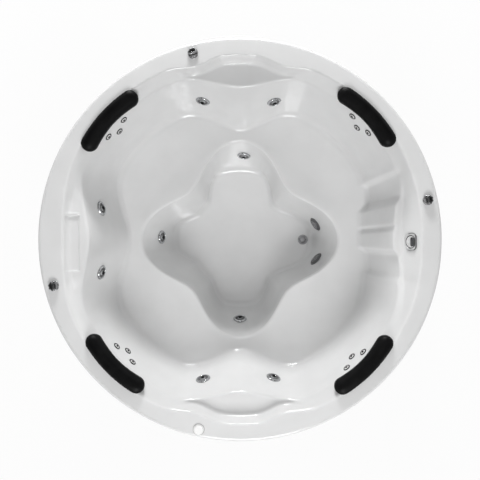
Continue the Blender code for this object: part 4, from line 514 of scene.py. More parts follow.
def softened(corners, reach, count=4, looped=False):
    """Each corner C becomes the curve (1-t)^2 A + 2t(1-t) C + t^2 B, with A and B a reach away from it.

    The corners are in millimetres. The reach and the result are in metres.
    """
    points = np.asarray(corners, float) / 1000
    here = points if looped else points[1:-1]
    ends = []
    for others in (np.roll(points, 1, axis=0), np.roll(points, -1, axis=0)):
        run = (others if looped else others[1:-1]) - here
        length = np.linalg.norm(run, axis=1, keepdims=True)
        ends.append(here + run / length * np.minimum(reach, 0.45 * length))
    t = np.linspace(0, 1, count)[:, None, None]
    curve = (1 - t) ** 2 * ends[0] + 2 * t * (1 - t) * here + t * t * ends[1]
    rows = curve.transpose(1, 0, 2).reshape(-1, 2)
    return rows if looped else np.concatenate([points[:1], rows, points[-1:]])


def turned(profile, place, steps=72, wave=None):
    """Rings of a (radius, height) profile about the placement's Z: radius * wave(angle, height)."""
    angles = 2 * np.pi * np.arange(steps) / steps
    radius, height = profile[:, 0, None] * np.ones(steps), profile[:, 1, None] * np.ones(steps)
    if wave:
        radius = radius * wave(angles, height)
    return at(place, np.stack([radius * np.cos(angles), radius * np.sin(angles), height], axis=-1))


def solid_turned(corners, reach, place, steps, wave=None):
    """A turned solid, whose softened profile is closed by a point at each end."""
    return closed_tube(turned(softened(corners, reach), place, steps, wave))


def ring_shape(grid):
    """Points and faces of a grid that closes on itself both ways."""
    rows, columns = grid.shape[:2]
    return grid.reshape(-1, 3), grid_faces(rows + 1, columns) % (rows * columns)


def band_radii(profile):
    """The radius in the middle of each band of a looped profile."""
    return (profile[:, 0] + np.roll(profile[:, 0], -1)) / 2


def joined(*shapes):
    """Several (points, faces) shapes as one."""
    starts = np.cumsum([0] + [len(points) for points, _ in shapes])
    faces = [np.where(some < 0, -1, some + start) for (_, some), start in zip(shapes, starts)]
    return np.concatenate([points for points, _ in shapes]), np.concatenate(faces)


def finished(name, shape, materials, body, node, slots=None, sharp=35.0):
    """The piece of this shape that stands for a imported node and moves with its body."""
    piece = mesh_piece(name, *shape, materials, slots)
    piece.data.set_sharp_from_angle(angle=math.radians(sharp))
    stand_in(piece, body, node)
    return piece


def apply_modifiers(piece):
    """The piece's mesh becomes its modifiers' result, and no modifier stays on it."""
    graph = bpy.context.evaluated_depsgraph_get()
    made = bpy.data.meshes.new_from_object(piece.evaluated_get(graph))
    piece.modifiers.clear()
    made.name = piece.name
    piece.data = made


def cut(piece, shapes, sharp):
    """Cuts the shapes out of a piece, with one cutter."""
    cutter = mesh_piece("cutter", *joined(*shapes))
    hole = piece.modifiers.new("cut", "BOOLEAN")
    hole.operation, hole.solver, hole.object = "DIFFERENCE", "EXACT", cutter
    apply_modifiers(piece)
    bpy.data.objects.remove(cutter, do_unlink=True)
    piece.data.set_sharp_from_angle(angle=math.radians(sharp))


def cut_seats(places, seat_radius, hole_radius, over=0.03, steps=64):
    """Cuts a flat seat and a hole through the shell at each place."""
    profile = np.array([(seat_radius, over), (seat_radius, 0), (hole_radius, 0), (hole_radius, -over)])
    cut(shell, [closed_tube(turned(profile, place, steps)) for place in places], 32)


def plated_material(name, tones, low, high):
    """Polished plating: a tone that drifts a little, and a roughness that handling has varied."""
    return patterned(name, tones, 35.0, (low, high, 60.0), metallic=1.0)[0]


def moulded_material(name, tones, low, high, grain=900.0):
    """Moulded plastic: faint clouding, uneven gloss and a fine grain."""
    return patterned(name, tones, 45.0, (low, high, 50.0), (grain, 0.12, 0.0004))[0]


def jet_ring_wave(angles, height):
    """Shallow finger notches in the ring's outer edge, above its skirt."""
    notch = 0.5 + 0.5 * np.cos(RING_LOBES * angles)
    return 1 - RING_LOBE_DEPTH * notch**3 * (height > 0.001) * (height < 0.0085)


jet_places = {
    "back_jet_" + name: wall_place(bearing, BACK_FOOT, share, SEAT_SINK)
    for name, (bearing, share) in BACK_JETS.items()
}
for name, (bearing, share) in FOOT_JETS.items():
    jet_places["foot_jet_" + name] = wall_place(bearing, FLOOR_EDGE, share, -SEAT_SINK)
cut_seats(jet_places.values(), JET_SEAT_RADIUS, JET_HOLE_RADIUS)
chrome = plated_material("chrome_plate", CHROME_TONES, 0.05, 0.12)
jet_dish = moulded_material("grey_jet_dish", JET_DISH_TONES, 0.25, 0.40)
spout_and_bore_shade = moulded_material("black_spout_and_bore_shade", SPOUT_AND_BORE_SHADE_TONES, 0.50, 0.60)
nozzle_plastic = moulded_material("grey_jet_nozzle", NOZZLE_TONES, 0.22, 0.35)
ring_profile = softened(RING_SECTION, 0.0022, looped=True)
ring_slots = np.repeat(band_radii(ring_profile) < RING_PLATED_FROM, 72)
# The ball is an arc of a circle. The spout and its bore close it.
angle = np.radians(np.linspace(BALL_FROM, BALL_TO, BALL_ROWS))
ball = BALL_RADIUS * np.stack([np.cos(angle), np.sin(angle)], axis=-1)
ball_profile = np.concatenate([ball, np.array(SPOUT_SECTION) / 1000])
# The spout and its bore take the near-black moulding: painted shade down the hole.
ball_slots = np.repeat(np.arange(len(ball_profile)) >= BALL_ROWS, 48)
for name, place in jet_places.items():
    shape, bezel = ring_shape(turned(ring_profile, place, wave=jet_ring_wave)), name + "_bezel"
    finished(name + "_ring", shape, [chrome, jet_dish], bezel, bezel, ring_slots)
    shape, nozzle = ring_shape(turned(ball_profile, shifted(place, 0, 0, -BALL_DROP), 48)), name + "_nozzle"
    finished(name + "_ball", shape, [nozzle_plastic, spout_and_bore_shade], nozzle, nozzle, ball_slots)

# The twelve neck jets, three under each headrest: small fixed jets with a plated rim round a pale
# face with one hole, whose walls take the dark plating as painted shade. Each is screwed through the flat
# panel that the mould gives the seat back.
SEAT_BEARINGS = {"ne": 44.0, "nw": 137.7, "sw": 224.8, "se": 312.8}
NECK_SPACING = 3.9
NECK_SHARES = {"ne": (0.90, 0.76), "nw": (0.90, 0.76), "sw": (0.79, 0.65), "se": (0.90, 0.76)}
NECK_SHIFTS = {"ne": -0.3, "nw": 0.4, "sw": 0.0, "se": 0.9}
NECK_SEAT_RADIUS, NECK_HOLE_RADIUS = 0.0202, 0.0133
NECK_SECTION = (
    (5, -50), (12.5, -50), (12.5, 0.3), (19, 0.3), (19, 3), (17.2, 5.4), (15, 5.6), (11.8, 3.4), (8.5, 3),
    (7.5, 5.6), (5.8, 5.6), (5, 4),
)
# Within the hole's edge the fitting takes the dark plating as painted shade.
NECK_PLATED_FROM, NECK_HOLE_SHADE_EDGE = 0.0122, 0.0070
NECK_FACE_TONES = ((0.74, 0.74, 0.73), (0.82, 0.82, 0.81))
# Dark plating for the neck jets' rims and the overflow's grip, and painted shade down the neck jets' holes.
DARK_PLATE_AND_HOLE_SHADE_TONES = ((0.07, 0.07, 0.073), (0.15, 0.15, 0.155))

neck_places = {}
for seat, bearing in SEAT_BEARINGS.items():
    for number, shift in enumerate((-1, 0, 1), start=1):
        share = NECK_SHARES[seat][0 if shift else 1]
        spot = bearing + NECK_SHIFTS[seat] + shift * NECK_SPACING
        neck_places[f"neck_jet_{seat}_{number}"] = wall_place(spot, BACK_FOOT, share, SEAT_SINK)
cut_seats(neck_places.values(), NECK_SEAT_RADIUS, NECK_HOLE_RADIUS, steps=48)
dark_plate_and_hole_shade = plated_material("dark_plating_and_hole_shade", DARK_PLATE_AND_HOLE_SHADE_TONES, 0.08, 0.16)
neck_plastic = moulded_material("pale_neck_face", NECK_FACE_TONES, 0.20, 0.32)
profile = softened(NECK_SECTION, 0.0012, looped=True)
middle = band_radii(profile)
# Dark plating on the rim and, as painted shade, within the hole; the pale face between.
slots = np.repeat((middle < NECK_PLATED_FROM) & (middle > NECK_HOLE_SHADE_EDGE), 56)
for name, place in neck_places.items():
    shape = ring_shape(turned(profile, place, 56))
    finished(name + "_fitting", shape, [dark_plate_and_hole_shade, neck_plastic], "tub", name, slots)

# The two suction covers low on the east lobe: dark grilles with a paler dome, moulded with slots
# that are too narrow for a finger, on a spigot that pushes into the fitting behind.
SUCTION_SPOTS = {"north": (11.7, 0.36), "south": (-14.6, 0.48)}
SUCTION_SEAT_RADIUS, SUCTION_HOLE_RADIUS = 0.0434, 0.0212
SUCTION_PROFILE = (
    (20, -18), (20, 0.3), (42, 0.3), (42, 3), (36.5, 7.8), (25.5, 10.8), (12.5, 11.9), (1, 12.2),
)
SLOT_WIDTH, SLOT_PITCH, SLOT_COUNT, SLOT_REACH = 0.0032, 0.0072, 9, 0.0340
SLOT_FLOOR, SLOT_TOP = 0.0025, 0.0240
GRILLE_TONES = ((0.085, 0.085, 0.088), (0.120, 0.120, 0.124))
DOME_TONES, DOME_WITHIN = ((0.30, 0.30, 0.306), (0.38, 0.38, 0.387)), 0.0300


def slot_cutter(place, shift):
    """A bar with round ends across the grille: a stadium outline, extruded along the seat's Z."""
    half = math.sqrt(SLOT_REACH**2 - shift**2) - SLOT_WIDTH / 2
    turn = np.linspace(-np.pi / 2, np.pi / 2, 9)
    end = SLOT_WIDTH / 2 * np.stack([np.cos(turn), np.sin(turn)], axis=-1)
    outline = np.concatenate([end + (half, 0), -end - (half, 0)]) + (0, shift)
    heights = np.array([SLOT_FLOOR, SLOT_TOP])[:, None, None] * np.ones((1, len(outline), 1))
    return closed_tube(at(place, np.concatenate([np.stack([outline, outline]), heights], axis=-1)))


suction_places = {
    side: wall_place(bearing, FLOOR_EDGE, share, -SEAT_SINK)
    for side, (bearing, share) in SUCTION_SPOTS.items()
}
cut_seats(suction_places.values(), SUCTION_SEAT_RADIUS, SUCTION_HOLE_RADIUS)
grille_plastic = moulded_material("dark_grille", GRILLE_TONES, 0.30, 0.45)
dome_plastic = moulded_material("grey_grille", DOME_TONES, 0.30, 0.45)
profile = softened(SUCTION_PROFILE, 0.002)
dome = (band_radii(profile)[:-1] < DOME_WITHIN) & (profile[1:, 1] > SEAT_GAP)
slots = np.repeat([*dome, False, True], 96)
for side, place in suction_places.items():
    name, shape = "suction_cover_" + side, closed_tube(turned(profile, place, 96))
    cover = finished(name + "_grille", shape, [grille_plastic, dome_plastic], "tub", name, slots)
    shifts = (np.arange(SLOT_COUNT) - (SLOT_COUNT - 1) / 2) * SLOT_PITCH
    cut(cover, [slot_cutter(place, shift) for shift in shifts], 30)

# The waste in the footwell's floor: a turned and plated flange with a pop-up plug, which a cable
# from the overflow's knob lifts.
WASTE_RADIUS_OUT, PLUG_LIFT = 0.367, 0.003
WASTE_SEAT_RADIUS, WASTE_HOLE_RADIUS = 0.0302, 0.0242
WASTE_SECTION = ((18, -48), (23.5, -48), (23.5, 0.3), (29, 0.3), (29, 1.2), (27, 3), (21.5, 3), (18, 2))
PLUG_PROFILE = ((6, -30), (6, 0.3), (17.2, 0.3), (21, 1.4), (21, 4), (18, 5.8), (10, 6.9), (1, 7.1))
STEEL_TONES = ((0.34, 0.34, 0.35), (0.42, 0.42, 0.43))

waste_place = facing((WASTE_RADIUS_OUT, 0, FLOOR_HEIGHT))
cut_seats([waste_place], WASTE_SEAT_RADIUS, WASTE_HOLE_RADIUS)
brushed = plated_material("brushed_steel", STEEL_TONES, 0.22, 0.36)
shape = ring_shape(turned(softened(WASTE_SECTION, 0.001, looped=True), waste_place, 96))
finished("waste_flange_ring", shape, [brushed], "tub", "waste_flange")
shape = solid_turned(PLUG_PROFILE, 0.0012, shifted(waste_place, 0, 0, PLUG_LIFT), 96)
finished("waste_plug_cap", shape, [brushed], "waste_plug", "waste_plug")

# The overflow on the east riser: a satin plated cover with rounded corners, and in its round mouth
# the knob that works the plug. The knob is pale, with a dark finger grip that stands out.
OVERFLOW_BEARING, OVERFLOW_SHARE = -0.8, 0.47
OVERFLOW_SEAT_RADIUS, OVERFLOW_HOLE_RADIUS = 0.0470, 0.0257
OVERFLOW_SECTION = (
    (6.2, -40), (25, -40), (25, 0.3), (42, 0.3), (42, 5), (39.5, 8.5), (34.8, 9), (33.4, 8), (33, 2.7),
    (6.2, 2.7),
)
SQUARE_POWER, SQUARE_REACH, SQUARE_FROM, OVERFLOW_NARROW = 4.5, 1.10, 0.0345, 0.84
# Painted shade: the cover is near black within the first radius, on the floor of its mouth round the knob,
# and beyond the second, on its outer edge.
OVERFLOW_MOUTH_SHADE_TO, OVERFLOW_EDGE_SHADE_FROM = 0.0332, 0.0400
KNOB_PROFILE = ((6, -20), (6, 3), (29, 3), (29, 7), (26.5, 9.8), (15, 10.4), (0.5, 10.6))
GRIP_SIZE, GRIP_SHIFT, GRIP_LOW, GRIP_HIGH, GRIP_EDGE = (0.046, 0.026), -0.0180, 0.0094, 0.0165, 0.003
KNOB_TONES = ((0.66, 0.66, 0.66), (0.74, 0.74, 0.74))
COVER_TONES = ((0.80, 0.80, 0.80), (0.88, 0.88, 0.88))
# Near-black tones of the cover's painted shade.
COVER_SHADE_TONES = ((0.060, 0.061, 0.064), (0.085, 0.086, 0.090))


def squared(angles, height):
    """Scales a circle towards a square with round corners, (|cos|^p + |sin|^p)^(-1/p), above the seat."""
    across, up = np.abs(np.cos(angles)), np.abs(np.sin(angles)) / OVERFLOW_NARROW
    reach = np.minimum((across**SQUARE_POWER + up**SQUARE_POWER) ** (-1 / SQUARE_POWER), SQUARE_REACH)
    return np.where(height > 0, reach, 1.0)


def block(place, size, inset, height, power, steps):
    """Rings of a squared-off ellipse, (|cos|^p + |sin|^p)^(-1/p), drawn in by an inset at each height."""
    angles = 2 * np.pi * np.arange(steps) / steps
    reach = (np.abs(np.cos(angles)) ** power + np.abs(np.sin(angles)) ** power) ** (-1 / power)
    x = (size[0] / 2 - inset[:, None]) * reach * np.cos(angles)
    y = (size[1] / 2 - inset[:, None]) * reach * np.sin(angles)
    return closed_tube(at(place, np.stack([x, y, height[:, None] + 0 * x], axis=-1)))


def grip_shape(place):
    """A block whose top edge is a quarter circle, and whose top closes in two small steps."""
    rise = np.linspace(0, np.pi / 2, 6)
    closing = [min(GRIP_SIZE) / 3, min(GRIP_SIZE) / 2.05]
    inset = np.concatenate([[0], GRIP_EDGE * (1 - np.cos(rise)), closing])
    edge = GRIP_HIGH - GRIP_EDGE + GRIP_EDGE * np.sin(rise)
    height = np.concatenate([[GRIP_LOW], edge, [GRIP_HIGH + 0.0003, GRIP_HIGH + 0.0004]])
    return block(shifted(place, 0, GRIP_SHIFT, 0), GRIP_SIZE, inset, height, 5, 40)


overflow_place = wall_place(OVERFLOW_BEARING, LEDGE_OUTER, OVERFLOW_SHARE, SEAT_SINK)
cut_seats([overflow_place], OVERFLOW_SEAT_RADIUS, OVERFLOW_HOLE_RADIUS)
cover_plate = plated_material("satin_cover", COVER_TONES, 0.32, 0.42)
# A near-black moulding that paints shade on the cover's outer edge and in its mouth.
cover_painted_shade = moulded_material("overflow_cover_painted_shade", COVER_SHADE_TONES, 0.25, 0.40)
knob_plastic = moulded_material("pale_knob", KNOB_TONES, 0.25, 0.38)
profile = softened(OVERFLOW_SECTION, 0.0015, looped=True)
round_grid, square_grid = (turned(profile, overflow_place, 128, wave) for wave in (None, squared))
shape = ring_shape(np.where(profile[:, :1, None] > SQUARE_FROM, square_grid, round_grid))
middle = band_radii(profile)
# The mouth's floor round the knob and the cover's outer edge take the painted shade.
slots = np.repeat((middle < OVERFLOW_MOUTH_SHADE_TO) | (middle > OVERFLOW_EDGE_SHADE_FROM), 128)
materials = [cover_plate, cover_painted_shade]
finished("overflow_cover_plate", shape, materials, "tub", "overflow_cover", slots)
disc, grip = solid_turned(KNOB_PROFILE, 0.0015, overflow_place, 96), grip_shape(overflow_place)
slots = np.repeat([0, 1], [len(disc[1]), len(grip[1])])
shape, materials = joined(disc, grip), [knob_plastic, dark_plate_and_hole_shade]
finished("overflow_knob_dial", shape, materials, "overflow_knob", "overflow_knob", slots)

# The three air controls on the rim: plated knobs with eight scallops and a raised bar across the
# crown. Turning one lets air into the jets.
AIR_CONTROL_BEARINGS = {"north": 104.2, "east": 11.9, "west": 194.0}
AIR_CONTROL_RADIUS_OUT, AIR_SEAT_RADIUS, AIR_HOLE_RADIUS = 0.948, 0.0275, 0.0176
AIR_KNOB_PROFILE = (
    (10, -24), (10, 0.3), (26.2, 0.3), (26.5, 3), (25.8, 16.5), (23.2, 20.3), (16, 21.5), (8, 22),
    (0.5, 22.1),
)
FLUTES, FLUTE_DEPTH = 8, 0.17
BAR_WIDTH, BAR_REACH, BAR_RISE, BAR_FROM = 0.0034, 0.0175, 0.0045, 0.019
AIR_KNOB_TONES = ((0.22, 0.22, 0.225), (0.36, 0.36, 0.366))


def knob_wave(angles, height):
    """Scallops, a power of (1 + cos 8 a) / 2, in the knob's side. They fade out on the crown."""
    share = np.clip((height - 0.0005) / 0.0025, 0, 1) * np.clip((0.0222 - height) / 0.004, 0, 1)
    return 1 - FLUTE_DEPTH * share * (0.5 + 0.5 * np.cos(FLUTES * angles)) ** 1.6


def air_knob_grid():
    """A turned knob whose crown is lifted by a smooth step across one of its widths."""
    corners = np.array(AIR_KNOB_PROFILE)
    crown = np.linspace(corners[-3], corners[-1], 14)[1:-1]
    profile = softened(np.concatenate([corners[:-2], crown, corners[-1:]]), 0.0012)
    grid = turned(profile, np.eye(4), 144, knob_wave)
    lift = plateau(grid[..., 1], -BAR_WIDTH, BAR_WIDTH, 0.002)
    lift = lift * plateau(grid[..., 0], -BAR_REACH, BAR_REACH, 0.004)
    grid[..., 2] += BAR_RISE * lift * (grid[..., 2] > BAR_FROM)
    return grid


air_places = {
    name: facing(polar(AIR_CONTROL_RADIUS_OUT, bearing, RIM_HEIGHT))
    for name, bearing in AIR_CONTROL_BEARINGS.items()
}
cut_seats(air_places.values(), AIR_SEAT_RADIUS, AIR_HOLE_RADIUS)
knob_plate = plated_material("knob_plating", AIR_KNOB_TONES, 0.08, 0.16)
for name, place in air_places.items():
    node, along = "air_knob_" + name, polar(1, AIR_CONTROL_BEARINGS[name] + 90)
    shape = closed_tube(at(facing(place[:3, 3], along=along), air_knob_grid()))
    finished(node + "_fluted", shape, [knob_plate], node, node, sharp=50.0)

# The push button on the south rim works the pump by air: a white cap that slides in a white collar.
# The collar's outer edge is grey: painted shade at the raised collar's edge.
BUTTON_BEARING, BUTTON_RADIUS_OUT, BUTTON_SEAT_RADIUS, BUTTON_HOLE_RADIUS = 257.7, 0.960, 0.0302, 0.0176
COLLAR_SECTION = (
    (1, -50), (17, -50), (17, 0.3), (29, 0.3), (29, 3.6), (26.5, 6), (23.7, 6), (23.5, 1.2), (11.3, 1),
    (11.3, -20.5), (1, -20.5),
)
CAP_PROFILE = ((11, -16), (11, 5.4), (23, 5.4), (23, 10), (20.5, 12), (15, 11.9), (8, 11.3), (0.5, 11.1))
BUTTON_TONES = ((0.97, 0.97, 0.965), (0.99, 0.99, 0.985))
# Grey tones, and the radius beyond which the collar's outer edge carries painted shade.
COLLAR_EDGE_SHADE_TONES, COLLAR_EDGE_SHADE_FROM = ((0.42, 0.42, 0.42), (0.50, 0.50, 0.50)), 0.0262

button_place = facing(polar(BUTTON_RADIUS_OUT, BUTTON_BEARING, RIM_HEIGHT))
cut_seats([button_place], BUTTON_SEAT_RADIUS, BUTTON_HOLE_RADIUS)
button_plastic = moulded_material("white_button", BUTTON_TONES, 0.20, 0.32)
collar_edge_shade = moulded_material("collar_edge_painted_shade", COLLAR_EDGE_SHADE_TONES, 0.25, 0.38)
profile = softened(COLLAR_SECTION, 0.001)
# Beyond that radius the collar's outer side and rounded edge are grey: painted shade.
slots = np.repeat([*(band_radii(profile)[:-1] > COLLAR_EDGE_SHADE_FROM), False, False], 96)
shape, materials = closed_tube(turned(profile, button_place, 96)), [button_plastic, collar_edge_shade]
finished("button_collar_ring", shape, materials, "tub", "button_collar", slots)
shape = solid_turned(CAP_PROFILE, 0.0015, button_place, 96)
finished("button_cap_top", shape, [button_plastic], "button_cap", "button_cap")

# The water main: white PVC pipe and elbows, glued. An eight-sided ring under the seats feeds every
# jet body and the four neck manifolds, and takes the pump's discharge.
WATER_RING_RADIUS, WATER_RING_HEIGHT, WATER_PIPE_RADIUS = 0.880, 0.395, 0.025
AIR_RING_RADIUS, AIR_RING_HEIGHT, AIR_PIPE_RADIUS, AIR_BRANCH_RADIUS = 0.920, 0.505, 0.016, 0.011
BRANCH_RADIUS, AIR_PORT_RADIUS, AIR_PORT_LENGTH, AIR_PORT_SHIFT = 0.016, 0.014, 0.045, 0.050
JET_BODY_DEPTH, JET_PORT_INSET, RISER_CLEARANCE = 0.085, 0.013, 0.010
JET_BODY_PROFILE = (
    (1, -30), (22.4, -30), (22.4, -0.3), (26.7, -0.3), (26.7, -13), (35, -13), (35, -23), (26.2, -23.5),
    (24, -30), (24, -79), (20, -85), (1, -85),
)
NUT_LOBES, NUT_LOBE_DEPTH = 8, 0.045
MANIFOLD_SETBACK, MANIFOLD_RADIUS, MANIFOLD_LENGTH, MANIFOLD_DROP_RADIUS = 0.030, 0.014, 0.170, 0.015
NECK_DEPTH, STUB_RADIUS, STUB_STRAIGHT = 0.050, 0.0105, 0.0125
FRAME_TUBE, SHELF_RISE = 0.030, 0.002
FRAME_BASE = FLOOR_HEIGHT - SHELL_WALL - SEAT_GAP - 2 * FRAME_TUBE + 0.001
PUMP_BEARING, PUMP_RADIUS_OUT, PUMP_SHIFT, PUMP_AXIS_UP, PUMP_OUTLET_UP = 300.0, 0.665, 0.090, 0.095, 0.110
PVC_TONES = ((0.72, 0.72, 0.70), (0.80, 0.80, 0.78))
STILL_STEP = 1e-7


def bearing_of(point):
    return math.degrees(math.atan2(point[1], point[0]))


def pipe(route, radius, bend=0.03, socket=0.016, swell=0.003, sides=24, looped=False):
    """Rings along a route whose corners are parabolas. Round each corner the fitting is thicker."""
    route = np.asarray(route, float)
    count = len(route)
    stations, radii = ([], []) if looped else ([route[0]], [radius])
    for number in range(count) if looped else range(1, count - 1):
        here, before, after = route[number], route[number - 1], route[(number + 1) % count]
        most = 0.45 * min(np.linalg.norm(here - before), np.linalg.norm(after - here))
        into, away = unit(here - before), unit(after - here)
        turn, reach = min(bend, most), min(bend + socket, most)
        t = np.linspace(0, 1, 9)[:, None]
        arc = (1 - t) ** 2 * (here - turn * into) + 2 * t * (1 - t) * here + t * t * (here + turn * away)
        stations += [here - reach * into] * 2 + list(arc) + [here + reach * away] * 2
        radii += [radius] + [radius + swell] * 11 + [radius]
    if not looped:
        stations.append(route[-1])
        radii.append(radius)
    return swept(np.array(stations), np.array(radii), sides, looped)


def swept(stations, radii, sides, looped):
    """Circles carried along the stations: each ring's side is the last one's, laid square to the path.

    Where stations repeat, the ring keeps the way of the one before.
    """
    ahead, behind = np.roll(stations, -1, axis=0) - stations, stations - np.roll(stations, 1, axis=0)
    if not looped:
        ahead[-1], behind[0] = 0, 0
    along = ahead + behind
    still = np.flatnonzero(np.linalg.norm(along, axis=1) < STILL_STEP)
    along[still] = along[still - 1]
    side = np.array([0.0, 0, 1]) if abs(unit(along[0])[2]) < 0.9 else np.array([1.0, 0, 0])
    frames = []
    for way in along:
        way = unit(way)
        side = unit(side - way * (side @ way))
        frames.append((side, np.cross(way, side)))
    frames = np.array(frames)
    angles = 2 * np.pi * np.arange(sides) / sides
    spokes = np.cos(angles)[:, None] * frames[:, None, 0] + np.sin(angles)[:, None] * frames[:, None, 1]
    grid = stations[:, None, :] + radii[:, None, None] * spokes
    return ring_shape(grid) if looped else closed_tube(grid)


def sleeve(middle, along, radius, length=0.05, swell=0.0035):
    """A straight coupling or the run of a tee: a short thicker pipe with softened ends."""
    along = unit(along)
    corners = np.array([(radius, -1), (radius + swell, -1), (radius + swell, 1), (radius, 1)])
    side = (0.3, 0.2, 1) if abs(along[2]) < 0.9 else (1, 0, 0)
    return solid_turned(corners * (1000, 500 * length), 0.002, facing(middle, along, side), 24)


def ring_point(corner_radius, point, height):
    """The point of an eight-sided ring's centre line that lies straight outside another point."""
    bearing = bearing_of(point)
    away = math.radians((bearing + 22.5) % 45 - 22.5)
    return polar(corner_radius * math.cos(math.pi / 8) / math.cos(away), bearing, height)


def ring_pipe(corner_radius, height, radius, bend, socket):
    """An eight-sided ring of pipe."""
    corners = [polar(corner_radius, 22.5 + 45 * number, height) for number in range(8)]
    return pipe(corners, radius, bend, socket, looped=True)


def tee(point, radius):
    """The tee on a ring where a branch meets it."""
    return sleeve(point, polar(1, 45 * round(bearing_of(point) / 45) + 90), radius, 0.07)


def riser_foot(point):
    """The place straight outside a point where a pipe can rise behind the footwell's wall."""
    edge = wall_point(bearing_of(point), FLOOR_EDGE, 1)
    radius = math.hypot(edge[0], edge[1]) + SHELL_WALL + BRANCH_RADIUS + RISER_CLEARANCE
    return polar(radius, bearing_of(point), point[2])


def air_port(name, place):
    """The route of a jet's air port: it turns down on a back jet, and up beside a footwell jet."""
    port = at(place, 0, 0, JET_PORT_INSET - JET_BODY_DEPTH)
    if "back" in name:
        aside = ring_point(AIR_RING_RADIUS, port, port[2])
        return port, aside, aside - (0, 0, AIR_PORT_LENGTH)
    aside = riser_foot(port) + polar(AIR_PORT_SHIFT, bearing_of(port) + 90)
    return port, aside, aside + (0, 0, AIR_PORT_LENGTH)


def nut_wave(top, bottom):
    """Lobes, between two heights, round the nut that draws a body against the shell."""
    def wave(angles, height):
        inside = (height < top) & (height > bottom)
        return 1 - NUT_LOBE_DEPTH * inside * (0.5 + 0.5 * np.cos(NUT_LOBES * angles)) ** 2
    return wave


def jet_body(name, place):
    """The body of a large jet, its water pipe to the ring and its air port."""
    start = at(place, 0, 0, 3 * JET_PORT_INSET - JET_BODY_DEPTH)
    ring = ring_point(WATER_RING_RADIUS, start, WATER_RING_HEIGHT)
    out = [start] if "back" in name else [start, riser_foot(start)]
    route = out + [(out[-1][0], out[-1][1], WATER_RING_HEIGHT), ring]
    air = air_port(name, place)
    return [
        solid_turned(JET_BODY_PROFILE, 0.0015, place, 48, nut_wave(-0.0131, -0.0229)),
        pipe(route, BRANCH_RADIUS), tee(ring, WATER_PIPE_RADIUS),
        pipe(air, AIR_PORT_RADIUS, 0.02, 0.012, 0.002),
        sleeve(air[2], air[2] - air[1], AIR_PORT_RADIUS, 0.02, 0.002),
    ]


def neck_manifold(seat, bearing):
    """The pipe behind a cluster of neck jets, its stubs and its drop to the ring."""
    places = [neck_places[f"neck_jet_{seat}_{number}"] for number in (1, 2, 3)]
    back = -unit(sum(place[:3, 2] for place in places))
    middle = sum(at(place, 0, 0, -NECK_DEPTH) for place in places) / 3 + back * MANIFOLD_SETBACK
    along = polar(1, bearing + 90)
    half = along * MANIFOLD_LENGTH / 2
    shapes = [pipe([middle - half, middle, middle + half], MANIFOLD_RADIUS, 0.001, 0.02)]
    shapes += [sleeve(middle + share * half, along, MANIFOLD_RADIUS, 0.02, 0.003) for share in (-0.92, 0.92)]
    for place in places:
        start = at(place, 0, 0, -NECK_DEPTH - SEAT_GAP)
        straight = at(place, 0, 0, -NECK_DEPTH - STUB_STRAIGHT)
        meet = middle + along * (along @ (start - middle))
        shapes.append(pipe([start, straight, meet], STUB_RADIUS, 0.01, 0.003, 0.0015, 20))
    ring = ring_point(WATER_RING_RADIUS, middle, WATER_RING_HEIGHT)
    shapes.append(pipe([middle, (middle[0], middle[1], WATER_RING_HEIGHT), ring], MANIFOLD_DROP_RADIUS))
    return shapes + [tee(ring, WATER_PIPE_RADIUS)]


shelf_top = FRAME_BASE + FRAME_TUBE + SHELF_RISE
pump_along, pump_out = polar(1, PUMP_BEARING + 90), polar(1, PUMP_BEARING)
pump_middle = PUMP_RADIUS_OUT * pump_out + PUMP_SHIFT * pump_along
pump_middle = pump_middle + (0, 0, shelf_top + SEAT_GAP + PUMP_AXIS_UP)
shapes = [ring_pipe(WATER_RING_RADIUS, WATER_RING_HEIGHT, WATER_PIPE_RADIUS, 0.04, 0.03)]
for name, place in jet_places.items():
    shapes += jet_body(name, place)
for seat, bearing in SEAT_BEARINGS.items():
    shapes += neck_manifold(seat, bearing)
outlet = pump_middle + (0, 0, PUMP_OUTLET_UP + SEAT_GAP)
ring = ring_point(WATER_RING_RADIUS, outlet, WATER_RING_HEIGHT)
route = [outlet, (outlet[0], outlet[1], WATER_RING_HEIGHT), ring]
shapes.append(pipe(route, WATER_PIPE_RADIUS - 0.001, 0.04, 0.02))
shapes.append(sleeve(outlet + (0, 0, 0.022), (0, 0, 1), WATER_PIPE_RADIUS, 0.044, 0.006))
shapes.append(tee(ring, WATER_PIPE_RADIUS))
pvc = moulded_material("white_pvc", PVC_TONES, 0.28, 0.42, 500.0)
finished("water_pipes", joined(*shapes), [pvc], "tub", "water_main")

# The air main: thinner grey pipe. The three valves under the rim's knobs feed a ring above the water
# main, and from it a thin pipe runs to each large jet's air port.
AIR_RUN_HEIGHT, VALVE_DEPTH = 0.436, 0.065
AIR_VALVE_PROFILE = (
    (1, -30), (10.6, -30), (10.6, -0.3), (17, -0.3), (17, -10.5), (26, -10.5), (26, -20.5), (17, -21),
    (17, -64), (14, -70), (1, -70),
)
AIR_TONES = ((0.36, 0.37, 0.38), (0.44, 0.45, 0.46))

